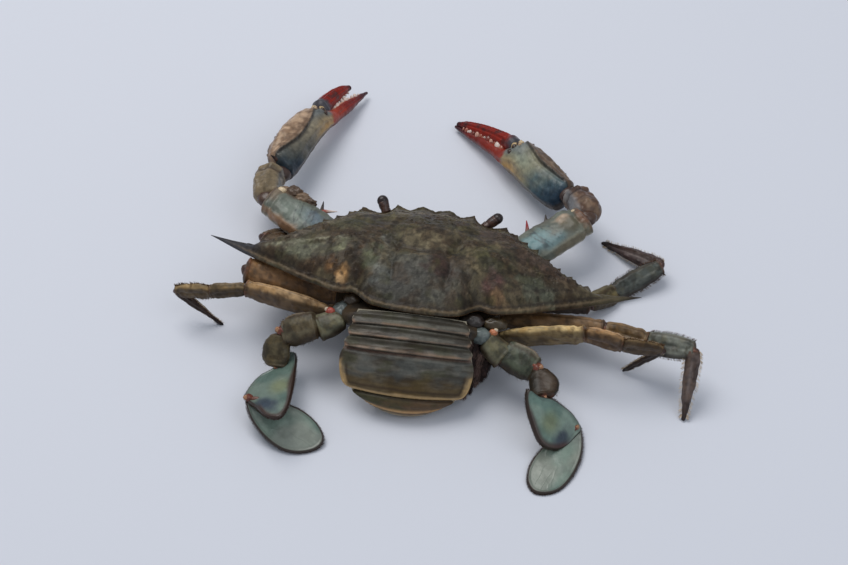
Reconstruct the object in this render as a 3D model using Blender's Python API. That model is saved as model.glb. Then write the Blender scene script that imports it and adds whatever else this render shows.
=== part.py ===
"""Blue swimming crab, an adult female, as a still life-size model.

The crab is built in millimetres in its own coordinates: +X is its right, +Y is forward, +Z is up,
and the floor is z = 0.  The shell, eyes, mouth and abdomen are laid out in the body's frame, whose
z = 0 is the plane of the shell's margin.  Every leg is a chain: it starts at a point of the body's
frame, and each segment has a length, a heading (degrees forward of straight out) and a climb.
"""
import math

import bmesh
import bpy
from mathutils import Matrix, Vector

MM = 0.001
CENTRE = Vector((6.2, 17.0, 0.0))      # the middle of the model's outline on the floor

# ---------------------------------------------------------------- the body's place and main sizes
BODY_HEIGHT = 24.1                     # the margin's plane above the floor
BODY_PITCH = -9.7                      # degrees, front down
BODY_ROLL = 3.0                        # degrees, left side up
GAP = 0.33                             # clearance between neighbouring pieces
SLIVER = 0.005                         # edges shorter than this are cleared away after a cut

# ---------------------------------------------------------------- the shell's margin, right half
NOTCH = (0.0, 31.6)
FRONT_TOOTH = (5.0, 33.7)
FRONT_VALLEY = (9.6, 31.2)
INNER_ORBIT = (14.7, 33.5)
ORBIT = (20.5, 27.6)
SIDE_TEETH = ((27.5, 29.9), (32.0, 25.9), (36.1, 22.5), (40.4, 18.8),
              (45.1, 13.4), (49.4, 9.5), (54.0, 6.3), (60.0, 2.7))
TOOTH_DEPTHS = (1.2, 2.4)              # of the first and the last notch between the side teeth
SPINE_TIP = (80.0, 3.5)
SPINE_VALLEY = (61.4, -1.6)
REAR = ((0.0, -31.4), (8.0, -31.1), (16.5, -29.6), (25.0, -25.6), (34.0, -21.4), (48.5, -14.8),
        (63.5, -7.0), SPINE_TIP)
FRONT_LINE = ((0.0, 31.0), (14.0, 31.0), (27.0, 27.0), (45.0, 11.5), (61.0, -1.0), SPINE_TIP)
CREST_SHARE = 0.53                     # where the crest lies on the way from the rear to the front line
DOME = 11.6
DOME_REACH = 66.0                      # how far out the dome still rises over the margin's plane
BELLY = 9.0
RIM_HALF = 1.1                         # half the shell's thickness just inside its margin

# ---------------------------------------------------------------- legs
LENGTHS = {"cheliped": (38.5, 18.0, 70.0),
           "walking_leg_1": (32.0, 13.1, 20.6, 29.0),
           "walking_leg_2": (34.5, 15.8, 17.6, 25.2),
           "walking_leg_3": (27.3, 13.1, 14.3, 22.3),
           "swimming_leg": (14.0, 12.5, 17.8, 30.5)}
SEGMENTS = ("merus", "carpus", "propodus", "dactyl")
HIP = 4.5                              # how far a walking leg's first node reaches inwards, as its hip
# (leg, side): start in the body's frame, then (heading, climb) of each segment in turn
POSE = {("cheliped", "right"): ((28.5, 15.5, -10.5), ((40, 14), (109, -16), (139, -10))),
        ("cheliped", "left"): ((-29.5, 17.3, -9.7), ((25, 7), (88, -11), (112, -10))),
        ("walking_leg_1", "right"): ((30.5, 3.1, -10.9), ((10, -10), (46, -14), (36, 13), (145, -14))),
        ("walking_leg_1", "left"): ((-31.7, 3.6, -10.8), ((20, 2), (125, -30), (166, -13), (170, -8))),
        ("walking_leg_2", "right"): ((33.9, -9.2, -12.1), ((-4, 5.5), (-13, -1), (-16, 10), (-94, -45))),
        ("walking_leg_2", "left"): ((-29.8, -8.5, -12.1), ((-1, 13), (128, -31), (113, -38), (-165, -7))),
        ("walking_leg_3", "right"): ((35.2, -20.6, -10.4), ((-1, 13), (-8, -5), (4, -9), (164, -53))),
        ("walking_leg_3", "left"): ((-35.3, -20.0, -11.0), ((9, 4), (-4, -11), (8, -15), (-174, -41))),
        ("swimming_leg", "right"): ((33.3, -29.5, -10.5), ((-26, -4), (-75, -1), (-6, -48), (-111, -3))),
        ("swimming_leg", "left"): ((-33.2, -30.4, -9.6), ((-7, -22), (-88, -40), (-67, 3), (-158, -16)))}
# Which way the broad faces of the swimming legs and claws look.
FACE = {("swimming_leg", "right"): ((0.1, -0.6, 0.8), (0.1, -0.7, 0.7), (0.55, -0.4, 0.7), (0, -0.1, 1)),
        ("swimming_leg", "left"): ((-0.2, -0.5, 0.8), (-0.2, -0.5, 0.8), (-0.35, 0, 1), (0.1, -0.35, 1))}
CLAW_TOP = {"right": (0.50, 0.57, 0.65), "left": (-0.72, 0.30, 0.62)}

# Profiles along a segment: (place along it 0..1, half breadth, half thickness, shift across)
MERUS = ((0, 2.7, 2.0, 0), (0.25, 4.1, 2.5, 0), (0.65, 4.5, 2.6, 0), (0.92, 3.9, 2.5, 0), (1, 3.2, 2.2, 0))
CARPUS = ((0, 2.4, 1.9, 0), (0.3, 3.1, 2.2, 0), (0.8, 3.5, 2.3, 0), (1, 2.9, 2.0, 0))
PROPODUS = ((0, 2.6, 1.8, 0), (0.3, 3.5, 1.9, 0), (0.75, 3.3, 1.7, 0), (1, 2.4, 1.5, 0))
DACTYL = ((0, 2.0, 1.4, 0), (0.15, 2.5, 1.5, 0), (0.5, 2.1, 1.2, 0), (0.85, 1.1, 0.7, 0), (1, 0.6, 0.5, 0))
ARM = ((0, 6.0, 4.0, 1.5), (0.3, 7.6, 4.8, 1.5), (0.75, 7.3, 5.0, 0.6),
       (0.93, 6.2, 4.7, 0), (1, 5.0, 4.0, 0))
WRISTS = {"right": ((0, 4.6, 4.2, 0.4), (0.3, 5.6, 5.4, 1.2), (0.75, 5.0, 5.1, 0.4), (1, 4.4, 4.3, 0)),
          "left": ((0, 4.6, 4.2, 0.4), (0.3, 5.6, 5.4, 1.4), (0.75, 5.8, 5.6, 1.4), (1, 4.8, 4.6, 0.6))}
PALMS = {"right": ((0, 6.2, 4.2, -1.2), (0.1, 7.4, 5.2, -0.9), (0.2, 7.9, 5.6, 0.3), (0.3, 8.0, 5.7, 1.5),
                   (0.4, 7.6, 5.6, 2.4), (0.44, 7.1, 5.4, 2.3), (0.5, 4.75, 4.4, 0.65),
                   (0.56, 3.2, 3.4, -0.2), (0.63, 2.5, 3.0, 0.2), (0.72, 2.2, 2.6, 0.4),
                   (0.85, 1.5, 1.8, 0.1), (0.94, 1.0, 1.2, 0), (1, 0.6, 0.6, 0)),
         "left": ((0, 6.2, 4.2, 1.6), (0.1, 7.4, 5.2, 3.6), (0.2, 7.8, 5.6, 5.0), (0.3, 7.6, 5.7, 6.0),
                  (0.4, 7.0, 5.5, 6.4), (0.5, 6.2, 5.0, 6.0), (0.565, 4.2, 4.0, 3.9), (0.63, 2.9, 3.0, 2.6),
                  (0.74, 2.8, 2.6, 2.2), (0.84, 2.1, 2.0, 1.5), (0.94, 1.2, 1.3, 0.8), (1, 0.6, 0.6, 0.4))}
FINGER = ((0, 3.0, 2.8, 0), (0.12, 3.7, 3.2, 0.3), (0.45, 3.1, 2.7, 1.1), (0.8, 2.2, 2.0, 0.8),
          (1, 0.9, 0.9, 0))
LEG_SIZES = (1.08, 1.0, 0.9)           # how broad and thick each walking leg is, of the profiles above
HINGE_PLACE = {"right": 0.485, "left": 0.55}     # where the movable finger starts, along the palm
HINGE_RISE = {"right": 5.4, "left": 7.9}
PALM_ROOT = 2.4                        # how far inwards of the wrist's end the palm starts
# Each movable finger's length, and how far it leans from the fixed finger's line, in degrees.
FINGERS = {"right": (35.0, -7.5), "left": (25.0, -2.5)}
SWIM_MERUS = ((0, 4.8, 2.9, 0), (0.3, 5.5, 3.2, 0), (0.7, 5.7, 3.2, 0), (1, 4.3, 2.7, 0))
SWIM_CARPUS = ((0, 3.2, 2.3, 0.6), (0.4, 5.0, 2.6, 1.4), (0.8, 4.9, 2.4, 1.2), (1, 3.6, 2.0, 0.2))
SWIM_PALM = ((0, 5.4, 1.7, -3.8), (0.2, 7.2, 1.6, -5.0), (0.5, 8.2, 1.4, -6.2), (0.85, 7.6, 1.2, -6.8),
             (1, 4.6, 1.1, -4.8))
PADDLE = ((0, 2.6, 1.1, 0), (0.12, 4.8, 1.2, 0), (0.35, 7.9, 1.2, 0), (0.62, 8.7, 1.0, 0),
          (0.85, 6.6, 0.8, 0), (0.96, 3.4, 0.6, 0), (1, 1.2, 0.5, 0))

# ---------------------------------------------------------------- the abdomen, in the body's frame
ABDOMEN_START = (-33.0, 0.6)           # (y, z) just behind the shell's rear rim
# (length, half breadth at its start and end, bulge of the middle, first and last slope in degrees)
ABDOMEN = (("abdomen_1", 3.9, 20.0, 20.8, 2.0, 38, 42),
           ("abdomen_2", 3.9, 21.2, 21.6, 2.4, 42, 50),
           ("abdomen_3", 4.2, 21.8, 22.6, 3.0, 50, 56),
           ("abdomen_4", 15.0, 23.2, 20.8, 4.0, 54, 68),
           ("abdomen_5", 12.6, 18.6, 13.0, 3.4, 57, 180),
           ("abdomen_6", 14.0, 12.0, 8.5, 2.4, 184, 194),
           ("telson", 9.5, 6.4, 2.2, 0.6, 192, 196))
PLATE_HALF = 0.9
PLATE_GAP = 0.5

COLOURS = {"shell": (0.085, 0.075, 0.048), "belly": (0.52, 0.47, 0.38), "leg": (0.20, 0.15, 0.08),
           "blue": (0.06, 0.12, 0.15), "paddle": (0.20, 0.24, 0.20), "eye": (0.03, 0.02, 0.02),
           "abdomen": (0.10, 0.09, 0.07), "finger": (0.30, 0.03, 0.02), "egg": (0.05, 0.04, 0.03)}

body_frame = (Matrix.Translation((0, 0, BODY_HEIGHT)) @ Matrix.Rotation(math.radians(BODY_PITCH), 4, "X")
              @ Matrix.Rotation(math.radians(BODY_ROLL), 4, "Y"))


# ================================================================ making meshes
def material(key):
    """The Principled material of one colour name, made once."""
    found = bpy.data.materials.get(key)
    if found:
        return found
    made = bpy.data.materials.new(key)
    made.use_nodes = True
    shader = made.node_tree.nodes["Principled BSDF"]
    shader.inputs["Base Color"].default_value = (*COLOURS[key], 1.0)
    shader.inputs["Roughness"].default_value = 0.2 if key == "eye" else 0.55
    return made


def add_object(name, mesh_data, colour):
    """An object from a closed bmesh in the crab's millimetres, moved to the model's frame."""
    bmesh.ops.recalc_face_normals(mesh_data, faces=mesh_data.faces)
    place = Matrix.Scale(MM, 4) @ Matrix.Translation(-CENTRE)
    mesh_data.transform(place)
    mesh = bpy.data.meshes.new(name)
    mesh_data.to_mesh(mesh)
    mesh_data.free()
    mesh.materials.append(material(colour))
    obj = bpy.data.objects.new(name, mesh)
    bpy.context.scene.collection.objects.link(obj)
    return obj


def loft(rings):
    """A closed bmesh through rings of points; a ring of one point is a pole."""
    data = bmesh.new()
    rows = [[data.verts.new(p) for p in ring] for ring in rings]
    for low, high in zip(rows, rows[1:]):
        count = max(len(low), len(high))
        for i in range(count):
            j = (i + 1) % count
            if len(low) == 1:
                data.faces.new((low[0], high[j], high[i]))
            elif len(high) == 1:
                data.faces.new((low[i], low[j], high[0]))
            else:
                data.faces.new((low[i], low[j], high[j], high[i]))
    return data


def rings_to_object(name, rings, colour):
    """A lofted object; where it nearly touches the floor it is cut flat on it."""
    data = loft(rings)
    bmesh.ops.triangulate(data, faces=data.faces, quad_method="SHORT_EDGE")
    if min(v.co.z for v in data.verts) < 0:
        cut_flat(data)
    return add_object(name, data, colour)


def cut_flat(data):
    """Cuts a closed bmesh off at the floor and closes it with a flat."""
    every = data.verts[:] + data.edges[:] + data.faces[:]
    cut = bmesh.ops.bisect_plane(data, geom=every, plane_co=(0, 0, 0), plane_no=(0, 0, 1),
                                 clear_inner=True, dist=0.01)
    rim = [e for e in cut["geom_cut"] if isinstance(e, bmesh.types.BMEdge)]
    bmesh.ops.holes_fill(data, edges=rim)


# ================================================================ sections swept along a segment
def smooth_between(table, t, column):
    """A Catmull-Rom curve through one column of a profile table."""
    last = len(table) - 1
    i = max(k for k in range(last) if table[k][0] <= t) if t > 0 else 0
    before, a, b, after = table[max(i - 1, 0)], table[i], table[i + 1], table[min(i + 2, last)]
    span = b[0] - a[0]
    slope_a = (b[column] - before[column]) / (b[0] - before[0])
    slope_b = (after[column] - a[column]) / (after[0] - a[0])
    u = (t - a[0]) / span
    return (a[column] * (1 + 2 * u) * (1 - u) ** 2 + b[column] * u * u * (3 - 2 * u)
            + slope_a * span * u * (1 - u) ** 2 - slope_b * span * u * u * (1 - u))


def places_along(length, cap_a, cap_b, steps, extra=()):
    """Places 0..1 along a segment, closer together over its rounded ends."""
    a, b = cap_a / length, cap_b / length
    inner = [a + (1 - a - b) * i / steps for i in range(steps + 1)]
    ends = [a * 0.28, 1 - b * 0.28]
    return sorted(set([round(t, 4) for t in inner + ends + list(extra)]))


def end_round(t, length, cap_a, cap_b):
    """How much of its full section a segment has near its rounded ends, 0..1."""
    from_start = min(1.0, t * length / cap_a)
    from_end = min(1.0, (1 - t) * length / cap_b)
    return math.sqrt(max(0.0, 1 - (1 - from_start) ** 2)) * math.sqrt(max(0.0, 1 - (1 - from_end) ** 2))


def segment_rings(start, end, face, profile, sides, steps, caps, power=2.3, spines=(), bow=0.0):
    """Rings of a limb's segment from start to end, whose broad face looks along face.

    A spine is (place, direction in the section in degrees, height, half length of its base, lean).
    """
    axis = end - start
    length = axis.length
    axis.normalize()
    thin = (face - axis * face.dot(axis)).normalized()
    broad = thin.cross(axis).normalized()
    extra = [t for place, _, _, base, _ in spines
             for t in (place - base / length, place, place + base / length)]
    rings = [[start + broad * profile[0][3]]]
    for t in places_along(length, caps[0], caps[1], steps, extra):
        half_b = smooth_between(profile, t, 1)
        half_t = smooth_between(profile, t, 2)
        shift = smooth_between(profile, t, 3) + bow * 4 * t * (1 - t)
        scale = end_round(t, length, *caps)
        centre = start + axis * (length * t) + broad * shift
        ring = []
        for i in range(sides):
            angle = 2 * math.pi * i / sides
            c, s = math.cos(angle), math.sin(angle)
            across = math.copysign(abs(c) ** (2 / power), c) * half_b * scale
            up = math.copysign(abs(s) ** (2 / power), s) * half_t * scale
            point = centre + broad * across + thin * up
            for place, direction, height, base, lean in spines:
                near = max(0.0, 1 - abs(t - place) * length / base)
                turn = math.degrees(abs(math.remainder(angle - math.radians(direction), 2 * math.pi)))
                beside = max(0.0, 1 - turn / (0.75 * 360 / 10))
                rise = height * near * beside
                out = broad * math.cos(angle) + thin * math.sin(angle)
                point = point + out * rise + axis * lean * rise
            ring.append(point)
        rings.append(ring)
    rings.append([end + broad * profile[-1][3]])
    return rings


def heading_vector(side, heading, climb):
    """The unit vector of a heading forward of straight out, and a climb, both in degrees."""
    out = 1 if side == "right" else -1
    h, c = math.radians(heading), math.radians(climb)
    return Vector((out * math.cos(h) * math.cos(c), math.sin(h) * math.cos(c), math.sin(c)))


def joints_of(leg, side):
    """The points where a leg's segments meet, from its start to its tip."""
    start, turns = POSE[leg, side]
    points = [body_frame @ Vector(start)]
    for length, (heading, climb) in zip(LENGTHS[leg], turns):
        points.append(points[-1] + heading_vector(side, heading, climb) * length)
    return points


def bend_face(points, side):
    """The direction square to the plane that a leg bends in."""
    face = (points[1] - points[0]).cross(points[-1] - points[1]).normalized()
    return face if face.y + face.z > 0 else -face


# ================================================================ the shell
def lerp(a, b, t):
    return tuple(x + (y - x) * t for x, y in zip(a, b))


def front_margin(steps):
    """The right front margin from its middle notch to the spine's tip: (x, y, depth of the rim)."""
    # Each corner is a point, how far the way to it bulges outwards, and how deep the rim is there.
    corners = [(NOTCH, 0.0, 1.0), (FRONT_TOOTH, 0.0, 2.6), (FRONT_VALLEY, 0.0, 1.0),
               (INNER_ORBIT, -0.4, 2.6), (ORBIT, -1.4, 0.8)]
    for i, tip in enumerate(SIDE_TEETH):
        corners.append((tip, -0.3, 3.2))
        if i + 1 < len(SIDE_TEETH):
            ahead = SIDE_TEETH[i + 1]
            size = math.hypot(ahead[0] - tip[0], ahead[1] - tip[1])
            foot = lerp(tip, ahead, 0.66)
            depth = TOOTH_DEPTHS[0] + (TOOTH_DEPTHS[1] - TOOTH_DEPTHS[0]) * i / (len(SIDE_TEETH) - 2)
            inward = ((ahead[1] - tip[1]) / size, (tip[0] - ahead[0]) / size)
            corners.append(((foot[0] + inward[0] * depth, foot[1] + inward[1] * depth), 0.5, 0.8))
    corners += [(SPINE_VALLEY, 0.5, 0.9), (SPINE_TIP, -0.5, 4.0)]
    stations = []
    for (a, _, rim_a), (b, bulge, rim_b) in zip(corners, corners[1:]):
        count = steps * (2 if b == SPINE_TIP else 1)
        size = math.hypot(b[0] - a[0], b[1] - a[1])
        for i in range(count):
            t = i / count
            lift = bulge * 4 * t * (1 - t) / size
            x, y = lerp(a, b, t)
            across = (x - (b[1] - a[1]) * lift, y + (b[0] - a[0]) * lift)
            stations.append((*across, rim_a + (rim_b - rim_a) * t))
    return stations


def margin_height(x, y):
    """The height of the shell's margin: drooping at the spines, lifted at the front and rear."""
    droop = -3.0 * max(0.0, (abs(x) - 45) / 35) ** 1.3
    front = 1.4 * max(0.0, 1 - abs(x) / 26) if y > 20 else 0.0
    rear = 3.0 * max(0.0, min(1.0, (-y - 18) / 12))
    return droop + front + rear


def relief(x, y):
    """The swellings and furrows of the shell's regions, over its plain dome."""
    ax = abs(x)
    hills = ((9.5, 17.0, 0.9, 7.0, 5.5), (0.0, 6.0, 0.6, 6.0, 7.0), (0.0, -13.0, 1.0, 7.5, 6.0),
             (24.0, -7.0, 1.3, 10.0, 9.0), (38.0, 3.0, 0.8, 9.0, 7.0), (27.0, 15.0, 0.6, 7.0, 5.0))
    furrows = ((11.0, -2.0, -1.0, 3.0, 6.0), (16.5, 8.0, -0.8, 4.0, 3.0), (9.5, -15.0, -0.9, 2.2, 6.5))
    return sum(h * math.exp(-((ax - cx) / sx) ** 2 - ((y - cy) / sy) ** 2)
               for cx, cy, h, sx, sy in hills + furrows)


def shell_ring(x, front_y, front_rim, top_steps, under_steps):
    """One closed ring round the shell, in the plane at a distance x from its middle."""
    ax = abs(x)
    rear_y = smooth_between(REAR, ax, 1)
    crest_y = rear_y + (smooth_between(FRONT_LINE, ax, 1) - rear_y) * CREST_SHARE
    level = max(0.0, 1 - (ax / DOME_REACH) ** 2.4)
    half = RIM_HALF * min(1.0, (SPINE_TIP[0] - ax) / 14 + 0.1)
    ring = []
    halves = ((front_y, front_rim, 2.2, 0.45, True), (rear_y, 1.2, 2.8, 0.0, False))
    for outer_y, rim, power, flare, front in halves:
        reach = abs(outer_y - crest_y)
        edge_y = outer_y + (crest_y - outer_y) * min(0.6, rim / reach)
        height = margin_height(x, edge_y)
        middle = margin_height(x, 0.0)
        top, under = [], []
        for i in range(top_steps + 1):
            share = (i / top_steps) ** 0.8
            y = crest_y + (edge_y - crest_y) * share
            fall = (1 - flare) * share ** power + flare * (1 - math.cos(math.pi * share)) / 2
            z = half + (middle + DOME * level) * (1 - fall) + height * fall
            top.append(Vector((x, y, z + relief(x, y) * level * (1 - share ** 6))))
        for i in range(under_steps + 1):
            share = i / under_steps
            y = crest_y + (edge_y - crest_y) * share
            z = (middle - BELLY * level) * (1 - share ** 1.6) + height * share ** 1.6 - half
            under.append(Vector((x, y, z)))
        lip = [Vector((x, outer_y, margin_height(x, outer_y) + lift * half)) for lift in (0.35, -0.35)]
        side = top + lip + under[::-1]
        # The crest's and the belly line's points belong to both halves, so the rear half leaves them out.
        ring += side if front else side[-2:0:-1]
    return [body_frame @ p for p in ring]


def make_carapace():
    """The shell, lofted from spine tip to spine tip."""
    stations = front_margin(1)
    mirrored = [(-x, y, rim) for x, y, rim in stations[:0:-1]]
    tip_height = margin_height(*SPINE_TIP)
    rings = [[body_frame @ Vector((-SPINE_TIP[0], SPINE_TIP[1], tip_height))]]
    rings += [shell_ring(x, y, rim, 4, 1) for x, y, rim in mirrored + stations]
    rings.append([body_frame @ Vector((*SPINE_TIP, tip_height))])
    return rings_to_object("carapace", rings, "shell")


# ================================================================ the rest of the body
def make_thorax():
    """The mass under the shell that carries the legs: breastplate, flanks and hip blocks."""
    stations = ((23, 11, -5, -13), (15, 21, -3, -17), (5, 28, -3, -18.5), (-8, 30, -3, -18.5),
                (-19, 29, -3, -17), (-26, 26, -1.5, -14), (-31, 20, 0, -9))
    sides = 12
    rings = [[body_frame @ Vector((0, 26, -9))]]
    for y, half, top, bottom in stations:
        ring = []
        for i in range(sides):
            angle = 2 * math.pi * i / sides
            c, s = math.cos(angle), math.sin(angle)
            x = math.copysign(abs(c) ** 0.75, c) * half
            z = (top + bottom) / 2 + math.copysign(abs(s) ** 0.75, s) * (top - bottom) / 2
            ring.append(body_frame @ Vector((x, y, z)))
        rings.append(ring)
    rings.append([body_frame @ Vector((0, -34, -3.5))])
    return rings_to_object("thorax", rings, "belly")


def make_eye(side):
    """An eye on its stalk, leaning out of the orbit."""
    out = 1 if side == "right" else -1
    profile = ((0, 1.5, 1.5, 0), (0.45, 1.5, 1.5, 0), (0.6, 1.9, 1.9, 0), (0.8, 2.3, 2.1, 0),
               (1, 1.9, 1.8, 0))
    root = body_frame @ Vector((out * 16.5, 27.5, 0.6))
    tip = body_frame @ Vector((out * 23.0, 31.8, 5.2))
    face = body_frame.to_3x3() @ Vector((0, 0, 1))
    return rings_to_object("eye_" + side, segment_rings(root, tip, face, profile, 8, 4, (1.0, 2.4)), "eye")


def make_antenna(side):
    """A short stout base and a thin feeler that lies along under the front of the shell."""
    out = 1 if side == "right" else -1
    profile = ((0, 1.5, 1.3, 0), (0.2, 1.3, 1.2, 0), (0.3, 0.5, 0.5, 0), (1, 0.35, 0.35, 0))
    root = body_frame @ Vector((out * 13.0, 27.0, -5.2))
    tip = body_frame @ Vector((out * 18.5, 39.5, -5.6))
    face = body_frame.to_3x3() @ Vector((0, 0, 1))
    rings = segment_rings(root, tip, face, profile, 6, 4, (0.8, 0.6))
    return rings_to_object("antenna_" + side, rings, "shell")


def make_maxilliped(side):
    """One of the two doors over the mouth."""
    out = 1 if side == "right" else -1
    profile = ((0, 3.2, 1.1, 0), (0.3, 4.6, 1.3, 0), (0.7, 4.4, 1.3, 0), (1, 3.0, 1.0, 0))
    root = body_frame @ Vector((out * 6.0, 20.5, -19.0))
    tip = body_frame @ Vector((out * 6.6, 27.6, -6.5))
    face = body_frame.to_3x3() @ Vector((0, 0.9, -0.4))
    rings = segment_rings(root, tip, face, profile, 8, 4, (1.6, 1.6))
    return rings_to_object("maxilliped_" + side, rings, "belly")


def abdomen_path():
    """Each plate's run of (y, z) points, from the shell's rear rim round and under the body."""
    y, z = ABDOMEN_START
    runs = []
    for name, length, *_, slope_a, slope_b in ABDOMEN:
        run = [(y, z)]
        steps = 1 if length < 5 else 3
        for i in range(steps):
            slope = math.radians(slope_a + (slope_b - slope_a) * (i + 0.5) / steps)
            y -= math.cos(slope) * length / steps
            z -= math.sin(slope) * length / steps
            run.append((y, z))
        runs.append((name, run))
        y -= math.cos(math.radians(slope_b)) * PLATE_GAP
        z -= math.sin(math.radians(slope_b)) * PLATE_GAP
    return runs


def make_abdomen():
    """The seven plates of the broad abdomen, folded down behind and in under the body."""
    made = []
    columns = 6
    for (name, run), (_, _, half_a, half_b, bulge, slope_a, slope_b) in zip(abdomen_path(), ABDOMEN):
        rings = []
        for i, (y, z) in enumerate(run):
            t = i / (len(run) - 1)
            slope = math.radians(slope_a + (slope_b - slope_a) * t)
            outward = Vector((0, -math.sin(slope), math.cos(slope)))
            half = half_a + (half_b - half_a) * t
            ring = []
            for side in (1, -1):
                for k in range(columns + 1):
                    across = side * (2 * k / columns - 1)
                    lift = -bulge * across * across
                    thick = PLATE_HALF * (1 - 0.5 * abs(across) ** 3) * side
                    ring.append(body_frame @ (Vector((across * half, y, z)) + outward * (lift + thick)))
            rings.append(ring)
        data = loft(rings)
        for end in (0, len(rings) - 1):
            count = len(rings[0])
            data.verts.ensure_lookup_table()
            row = [data.verts[end * count + i] for i in range(count)]
            for k in range(columns):
                data.faces.new((row[k], row[k + 1], row[count - 2 - k], row[count - 1 - k]))
        bmesh.ops.triangulate(data, faces=data.faces)
        if min(v.co.z for v in data.verts) < 0:
            cut_flat(data)
        made.append(add_object(name, data, "abdomen"))
    return made


def make_pleopods():
    """The dark hairy swimmerets that stand out at the abdomen's right edge."""
    profile = ((0, 2.0, 2.0, 0), (0.4, 3.6, 3.0, 0), (0.8, 3.4, 2.6, 0), (1, 2.0, 1.6, 0))
    rings = segment_rings(Vector((24.2, -32.5, 21.0)), Vector((25.4, -42.4, 5.0)), Vector((1, -0.4, 0.2)),
                          profile, 8, 4, (2.0, 2.0))
    return rings_to_object("pleopods_right", rings, "egg")


# ================================================================ legs
def make_walking_leg(leg, side, scale):
    """Four flattened segments and their points, from the body outwards."""
    points = joints_of(leg, side)
    face = bend_face(points, side)
    made = []
    caps = ((1.6, 1.6), (1.5, 1.5), (1.5, 1.3), (1.2, 0.5))
    steps = (3, 2, 2, 3)
    points[0] -= (points[1] - points[0]).normalized() * HIP
    for i, profile in enumerate((MERUS, CARPUS, PROPODUS, DACTYL)):
        sized = tuple((t, b * scale, h * scale, s) for t, b, h, s in profile)
        rings = segment_rings(points[i], points[i + 1], face, sized, 8, steps[i], caps[i])
        made.append(rings_to_object(f"{leg}_{side}_{SEGMENTS[i]}", rings, "leg"))
    return made


def make_swimming_leg(side):
    """The last leg, whose two end segments are the paddle's flat plates."""
    points = joints_of("swimming_leg", side)
    points[0] -= (points[1] - points[0]).normalized() * HIP
    made = []
    caps = ((2.0, 2.0), (2.0, 1.8), (2.0, 2.0), (1.6, 1.0))
    for i, profile in enumerate((SWIM_MERUS, SWIM_CARPUS, SWIM_PALM, PADDLE)):
        face = Vector(FACE["swimming_leg", side][i])
        # The broad offsets of both sides' plates point to the middle of the body.
        sized = tuple((t, b, h, s if side == "right" else -s) for t, b, h, s in profile)
        steps = 3 if i < 2 else 5
        rings = segment_rings(points[i], points[i + 1], face, sized, 8, steps, caps[i])
        colour = "leg" if i < 2 else "paddle"
        made.append(rings_to_object(f"swimming_leg_{side}_{SEGMENTS[i]}", rings, colour))
    return made


def make_cheliped(side):
    """The claw arm: hip, arm with its spines, wrist, and the claw's two fingers."""
    points = joints_of("cheliped", side)
    out = 1 if side == "right" else -1
    hip = body_frame @ Vector((out * 18.5, 11.0, -14.0))
    base_profile = ((0, 4.2, 4.0, 0), (0.5, 5.0, 4.4, 0), (1, 4.4, 3.8, 0))
    arm_axis = (points[1] - points[0]).normalized()
    level = Vector((0, 0, 1))
    base_rings = segment_rings(hip, points[0] - arm_axis * 0.5, level, base_profile, 8, 3, (2.0, 2.0))
    # The arm's broad side is level, and its three spines stand on its front edge.
    front = -180 if level.cross(arm_axis).y < 0 else 0
    spines = [(place, front, 3.4, 2.0, 0.4) for place in (0.26, 0.45, 0.64)]
    arm_rings = segment_rings(points[0], points[1], level, ARM, 8, 2, (2.5, 2.5), spines=spines)
    wrist = tuple((t, b, h, s * -out) for t, b, h, s in WRISTS[side])
    wrist_rings = segment_rings(points[1], points[2], level, wrist, 8, 3, (3.0, 3.0))
    # The claw's broad side runs from its lower, fixed finger to its upper, movable one.
    top = Vector(CLAW_TOP[side])
    points[2] -= Vector((out * PALM_ROOT, 0, 0))
    axis = (points[3] - points[2]).normalized()
    face = axis.cross(top).normalized()
    palm_rings = segment_rings(points[2], points[3], face, PALMS[side], 10, 10, (3.0, 0.8), power=2.2)
    broad = face.cross(axis)
    hinge_along = (points[3] - points[2]).length * HINGE_PLACE[side]
    hinge = points[2] + axis * hinge_along + broad * HINGE_RISE[side]
    reach, lean = FINGERS[side]
    tip = hinge + (axis * math.cos(math.radians(lean)) + broad * math.sin(math.radians(lean))) * reach
    finger_rings = segment_rings(hinge, tip, face, FINGER, 8, 5, (2.4, 0.7))
    return [rings_to_object(f"cheliped_{side}_base", base_rings, "belly"),
            rings_to_object(f"cheliped_{side}_arm", arm_rings, "blue"),
            rings_to_object(f"cheliped_{side}_wrist", wrist_rings, "leg"),
            rings_to_object(f"cheliped_{side}_palm", palm_rings, "blue"),
            rings_to_object(f"cheliped_{side}_finger", finger_rings, "finger")]


# ================================================================ fitting the pieces together
def carve(target, *others, gap=GAP):
    """Cuts the others, grown by the gap, out of the target."""
    for other in others:
        mesh = other.data.copy()
        cutter = bpy.data.objects.new("cutter_" + other.name, mesh)
        bpy.context.scene.collection.objects.link(cutter)
        normals = [v.normal.copy() for v in mesh.vertices]
        for vertex, normal in zip(mesh.vertices, normals):
            vertex.co += normal * gap * MM
        cutter.hide_render = True
        cutter.display_type = "WIRE"
        cut = target.modifiers.new("carve_" + other.name, "BOOLEAN")
        cut.operation = "DIFFERENCE"
        cut.solver = "EXACT"
        cut.object = cutter


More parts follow.
